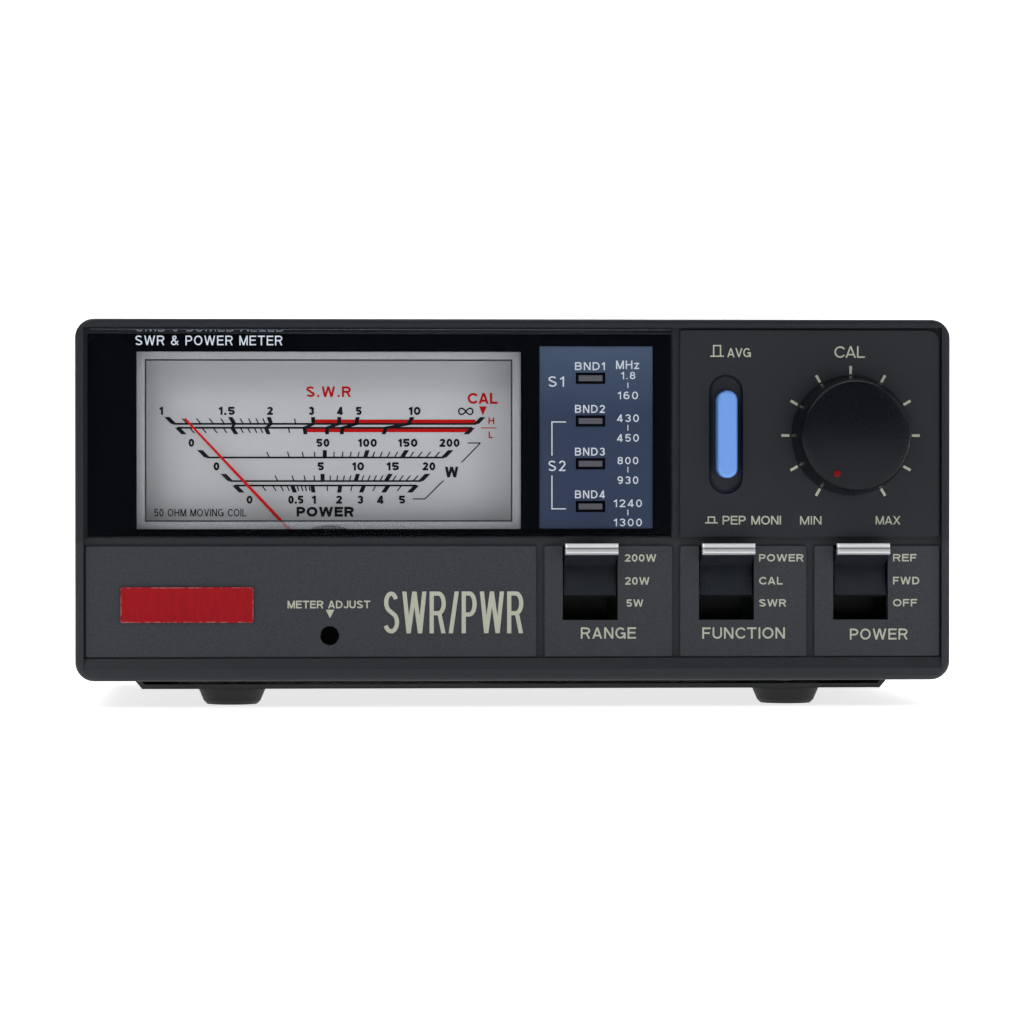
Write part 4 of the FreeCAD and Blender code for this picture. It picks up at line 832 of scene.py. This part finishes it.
def panel_lettering():
    cream = Sheet(TILE_Y)
    rows = ((25.85, 27.15), (21.75, 23.1), (17.85, 19.15))      # beside each lever, from the top
    for words, columns in (
        (("200W", "20W", "5W"), ((19.6, 25.2), (19.65, 24.0), (19.9, 22.9))),
        (("POWER", "CAL", "SWR"), ((43.5, 51.4), (43.5, 47.7), (43.5, 48.3))),
        (("REF", "FWD", "OFF"), ((67.4, 71.6), (67.4, 72.1), (67.4, 71.7))),
    ):
        for word, (x0, x1), (z0, z1) in zip(words, columns, rows):
            cream.text(word, x0, x1, z0, z1, 0.18, 0.17)
    for label in (
        ("RANGE", 11.8, 21.6, 12.2, 14.2, 0.15, 0.17),
        ("FUNCTION", 33.4, 48.1, 12.15, 14.15, 0.15, 0.17),
        ("POWER", 59.7, 70.0, 11.95, 13.9, 0.15, 0.17),
        ("CAL", 56.9, 62.35, 62.0, 64.05, 0.13, 0.08),
        ("AVG", 37.8, 42.0, 62.1, 63.7, 0.14, 0.08),
        ("PEP MONI", 37.0, 47.4, 32.4, 33.95, 0.15, 0.12),
        ("MIN", 50.8, 54.6, 32.4, 33.9, 0.14, 0.15),
        ("MAX", 64.3, 68.7, 32.4, 33.9, 0.14, 0.08),
        ("METER ADJUST", -40.1, -25.5, 17.65, 19.0, 0.18, 0.12),
        ("SWR/PWR", -23.2, 1.6, 13.2, 20.6, 0.1, 0.14),
    ):
        cream.text(*label)
    cream.polygon([(-32.6, 15.9), (-31.85, 17.4), (-33.35, 17.4)])
    icon(cream, 34.8, 37.2, 62.15, 64.25)
    icon(cream, 33.9, 36.1, 32.6, 33.85)
    knob_ticks(cream)
    cream.finish("panel_marks", "ink_cream", "insulator_white")
    heading = Sheet(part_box("window_pane")[0].y)
    heading.text(TITLE, -66.9, -41.0, 64.1, 65.8, 0.13)
    heading.finish("pane_heading", "ink_white", "insulator_white")


panel_lettering()


# ---------------------------------------------------------------- turned and detailed pieces

def knob():
    """The calibration knob: a slightly domed face, a soft edge, a steep glossy side."""
    face, base = (corner.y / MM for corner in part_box("cal_knob"))
    height, rise, edge, soft = base - face, 0.6, 9.65, 0.55
    flat = edge - soft
    profile = [(3.0, 0.0), (10.35, 0.0), (10.6, 0.15), (10.65, 0.5), (10.55, 1.2), (9.95, 6.4), (9.75, 7.1)]
    profile += arc(flat, height - rise - soft, soft, soft, 0, 75, 5)
    for i in range(1, 13):
        profile.append((flat * (1 - i / 12), height - rise + rise * math.sin(math.pi / 2 * i / 12)))
    mesh = lathe(profile, 128, (KNOB_X, base, KNOB_Z))
    shell = add_piece("knob_shell", mesh, "knob_black", "cal_knob")
    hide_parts("cal_knob")
    dot_x, dot_z = round_knob(-153, 7.6)
    dot = lathe([(0.62, -0.4), (0.62, 0.0), (0.55, 0.05), (0.0, 0.07)], 32, (dot_x, face + 0.16, dot_z))
    add_piece("knob_dot", dot, "dot_red", "cal_knob")


def cover_step_shade():
    """Painted shade: a dark line where the raised face of the meter cover begins, for the shade at the edge
    of its step.
    """
    # a thin dark sheet that paints the shade along the cover's step
    line = Sheet(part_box("meter_cover")[0].y + 0.35 * MM, 0.05 * MM)
    x0, x1, z0, z1 = COVER_FACE
    width = 0.3
    line.frame(x0 - width, x1 + width, z0 - width, z1 + width, width)
    line.finish("cover_step_shade_line", "step_shade_grey", "meter_black")


def pane_lip():
    """The glossy lip over the pane, with a painted highlight line along it and a painted reflection of the
    tops of the heading's letters.
    """
    bright = 66.86      # where the painted highlight line along the lip starts and the painted reflection ends
    lip = Sheet(LIP_Y, 0.0, sunk=0.4 * MM)
    lip.box(-75.2, 27.9, 66.42, 67.05)
    lip.finish("pane_lip", "lip_gloss", "mask_black")
    # painted highlight: a lighter line along the top of the lip
    shine = Sheet(LIP_Y, 0.03 * MM)
    shine.box(-74.9, 27.7, bright, 66.98)
    shine.finish("pane_lip_painted_highlight", "lip_painted_highlight", "mask_black")
    # painted reflection: the heading's letters upside down, cut off at the highlight line
    painted_reflection_sheet = Sheet(LIP_Y, 0.015 * MM)
    painted_reflection_sheet.text(TITLE, -66.75, -40.8, 68.0, 66.52, 0.13)
    whole = painted_reflection_sheet.mesh.verts[:] + painted_reflection_sheet.mesh.edges[:] + painted_reflection_sheet.mesh.faces[:]
    bmesh.ops.bisect_plane(painted_reflection_sheet.mesh, geom=whole, plane_co=(0, 0, bright * MM), plane_no=(0, 0, 1),
                           clear_outer=True)
    bmesh.ops.holes_fill(painted_reflection_sheet.mesh, edges=[edge for edge in painted_reflection_sheet.mesh.edges if edge.is_boundary])
    painted_reflection_sheet.finish("pane_lip_painted_reflection", "lip_painted_reflection", "insulator_white")


def rear_lettering():
    """Names over the sockets and the power inlet, drawn as read from behind."""
    marks = Sheet(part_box("chassis")[1].y, back=True)
    spans = []
    for sensor in ("hf", "uhf"):
        ends = []
        for kind, width in (("input", 8.4), ("antenna", 12.6)):
            low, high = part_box(f"{sensor}_{kind}_socket")
            ends.append(-(low.x + high.x) / 2 / MM)
            marks.centred(kind.upper(), ends[-1], 47.6, 49.4, width)
        spans.append(sorted(ends))
    for (left, right), words, width in zip(spans, ("S1  1.8-160 MHz", "S2  430-1300 MHz"), (26, 28)):
        marks.centred(words, (left + right) / 2, 55.2, 57.2, width)
    marks.centred("DC 11-15V", 2, 40.6, 42.2, 11.5)
    for left, right in spans:
        marks.run([(left, 51), (left, 53), (right, 53), (right, 51)], 0.3)
    marks.finish("rear_marks", "ink_cream", "insulator_white")


knob()
cover_step_shade()
pane_lip()
rear_lettering()


# ---------------------------------------------------------------- studio

def studio():
    """White paper that runs back under the meter and bends up behind it, bright enough to read as white."""
    half_width, front, back, top, bend = 3.0, -2.2, 1.2, 2.2, 0.6
    line = [(front, 0.0), *arc(back - bend, bend, bend, bend, -90, 0, 16), (back, top)]
    floor = bpy.data.meshes.new("floor")
    verts = [(side * half_width, y, z) for y, z in line for side in (-1, 1)]
    faces = [(2 * i, 2 * i + 1, 2 * i + 3, 2 * i + 2) for i in range(len(line) - 1)]
    floor.from_pydata(verts, [], faces)
    for polygon in floor.polygons:
        polygon.use_smooth = True
    sweep = bpy.data.objects.new("floor", floor)
    bpy.context.scene.collection.objects.link(sweep)
    paper = grained("floor_paper", (0.86, 0.86, 0.86, 1), 0.7, grain=2, spread=0.01, depth=0.0,
                    Emission_Color=(1, 1, 1, 1), Emission_Strength=0.75)
    floor.materials.append(paper.material)


def area_light(name, place, target, size, power):
    data = bpy.data.lights.new(name, "AREA")
    data.shape = "RECTANGLE"
    data.size, data.size_y = size
    data.energy = power
    lamp = bpy.data.objects.new(name, data)
    lamp.location = place
    lamp.rotation_euler = (Vector(target) - Vector(place)).to_track_quat("-Z", "Y").to_euler()
    bpy.context.scene.collection.objects.link(lamp)


def lights():
    """A faint even sky, a soft light from each side of the front, and one on the paper behind."""
    world = bpy.data.worlds.new("studio")
    world.use_nodes = True
    sky = world.node_tree.nodes["Background"]
    sky.inputs["Color"].default_value = (1, 1, 1, 1)
    sky.inputs["Strength"].default_value = 0.05
    bpy.context.scene.world = world
    front = (0, -0.05, 0.03)
    area_light("key", (-0.55, -0.85, 0.75), front, (0.7, 0.5), 4.6)
    area_light("fill", (0.75, -0.75, 0.5), front, (0.6, 0.6), 2.4)
    area_light("back", (0, 0.5, 1.6), (0, 1.0, 0.2), (2.0, 0.6), 20)


def camera():
    """A long lens, nearly square on to the front, from a little to the left and above."""
    azimuth, elevation, distance = math.radians(-2.9), math.radians(0.6), 0.848
    aim = Vector((-0.45, -54, 34.66)) * MM
    level = math.cos(elevation)
    away = Vector((math.sin(azimuth) * level, -math.cos(azimuth) * level, math.sin(elevation)))
    data = bpy.data.cameras.new("view")
    data.lens = 168.6
    data.sensor_width = 36
    data.clip_start = 0.05
    lens = bpy.data.objects.new("view", data)
    lens.location = aim + away * distance
    lens.rotation_euler = (-away).to_track_quat("-Z", "Y").to_euler()
    bpy.context.scene.collection.objects.link(lens)
    bpy.context.scene.camera = lens
    bpy.context.scene.view_settings.view_transform = "Standard"


studio()
lights()
camera()
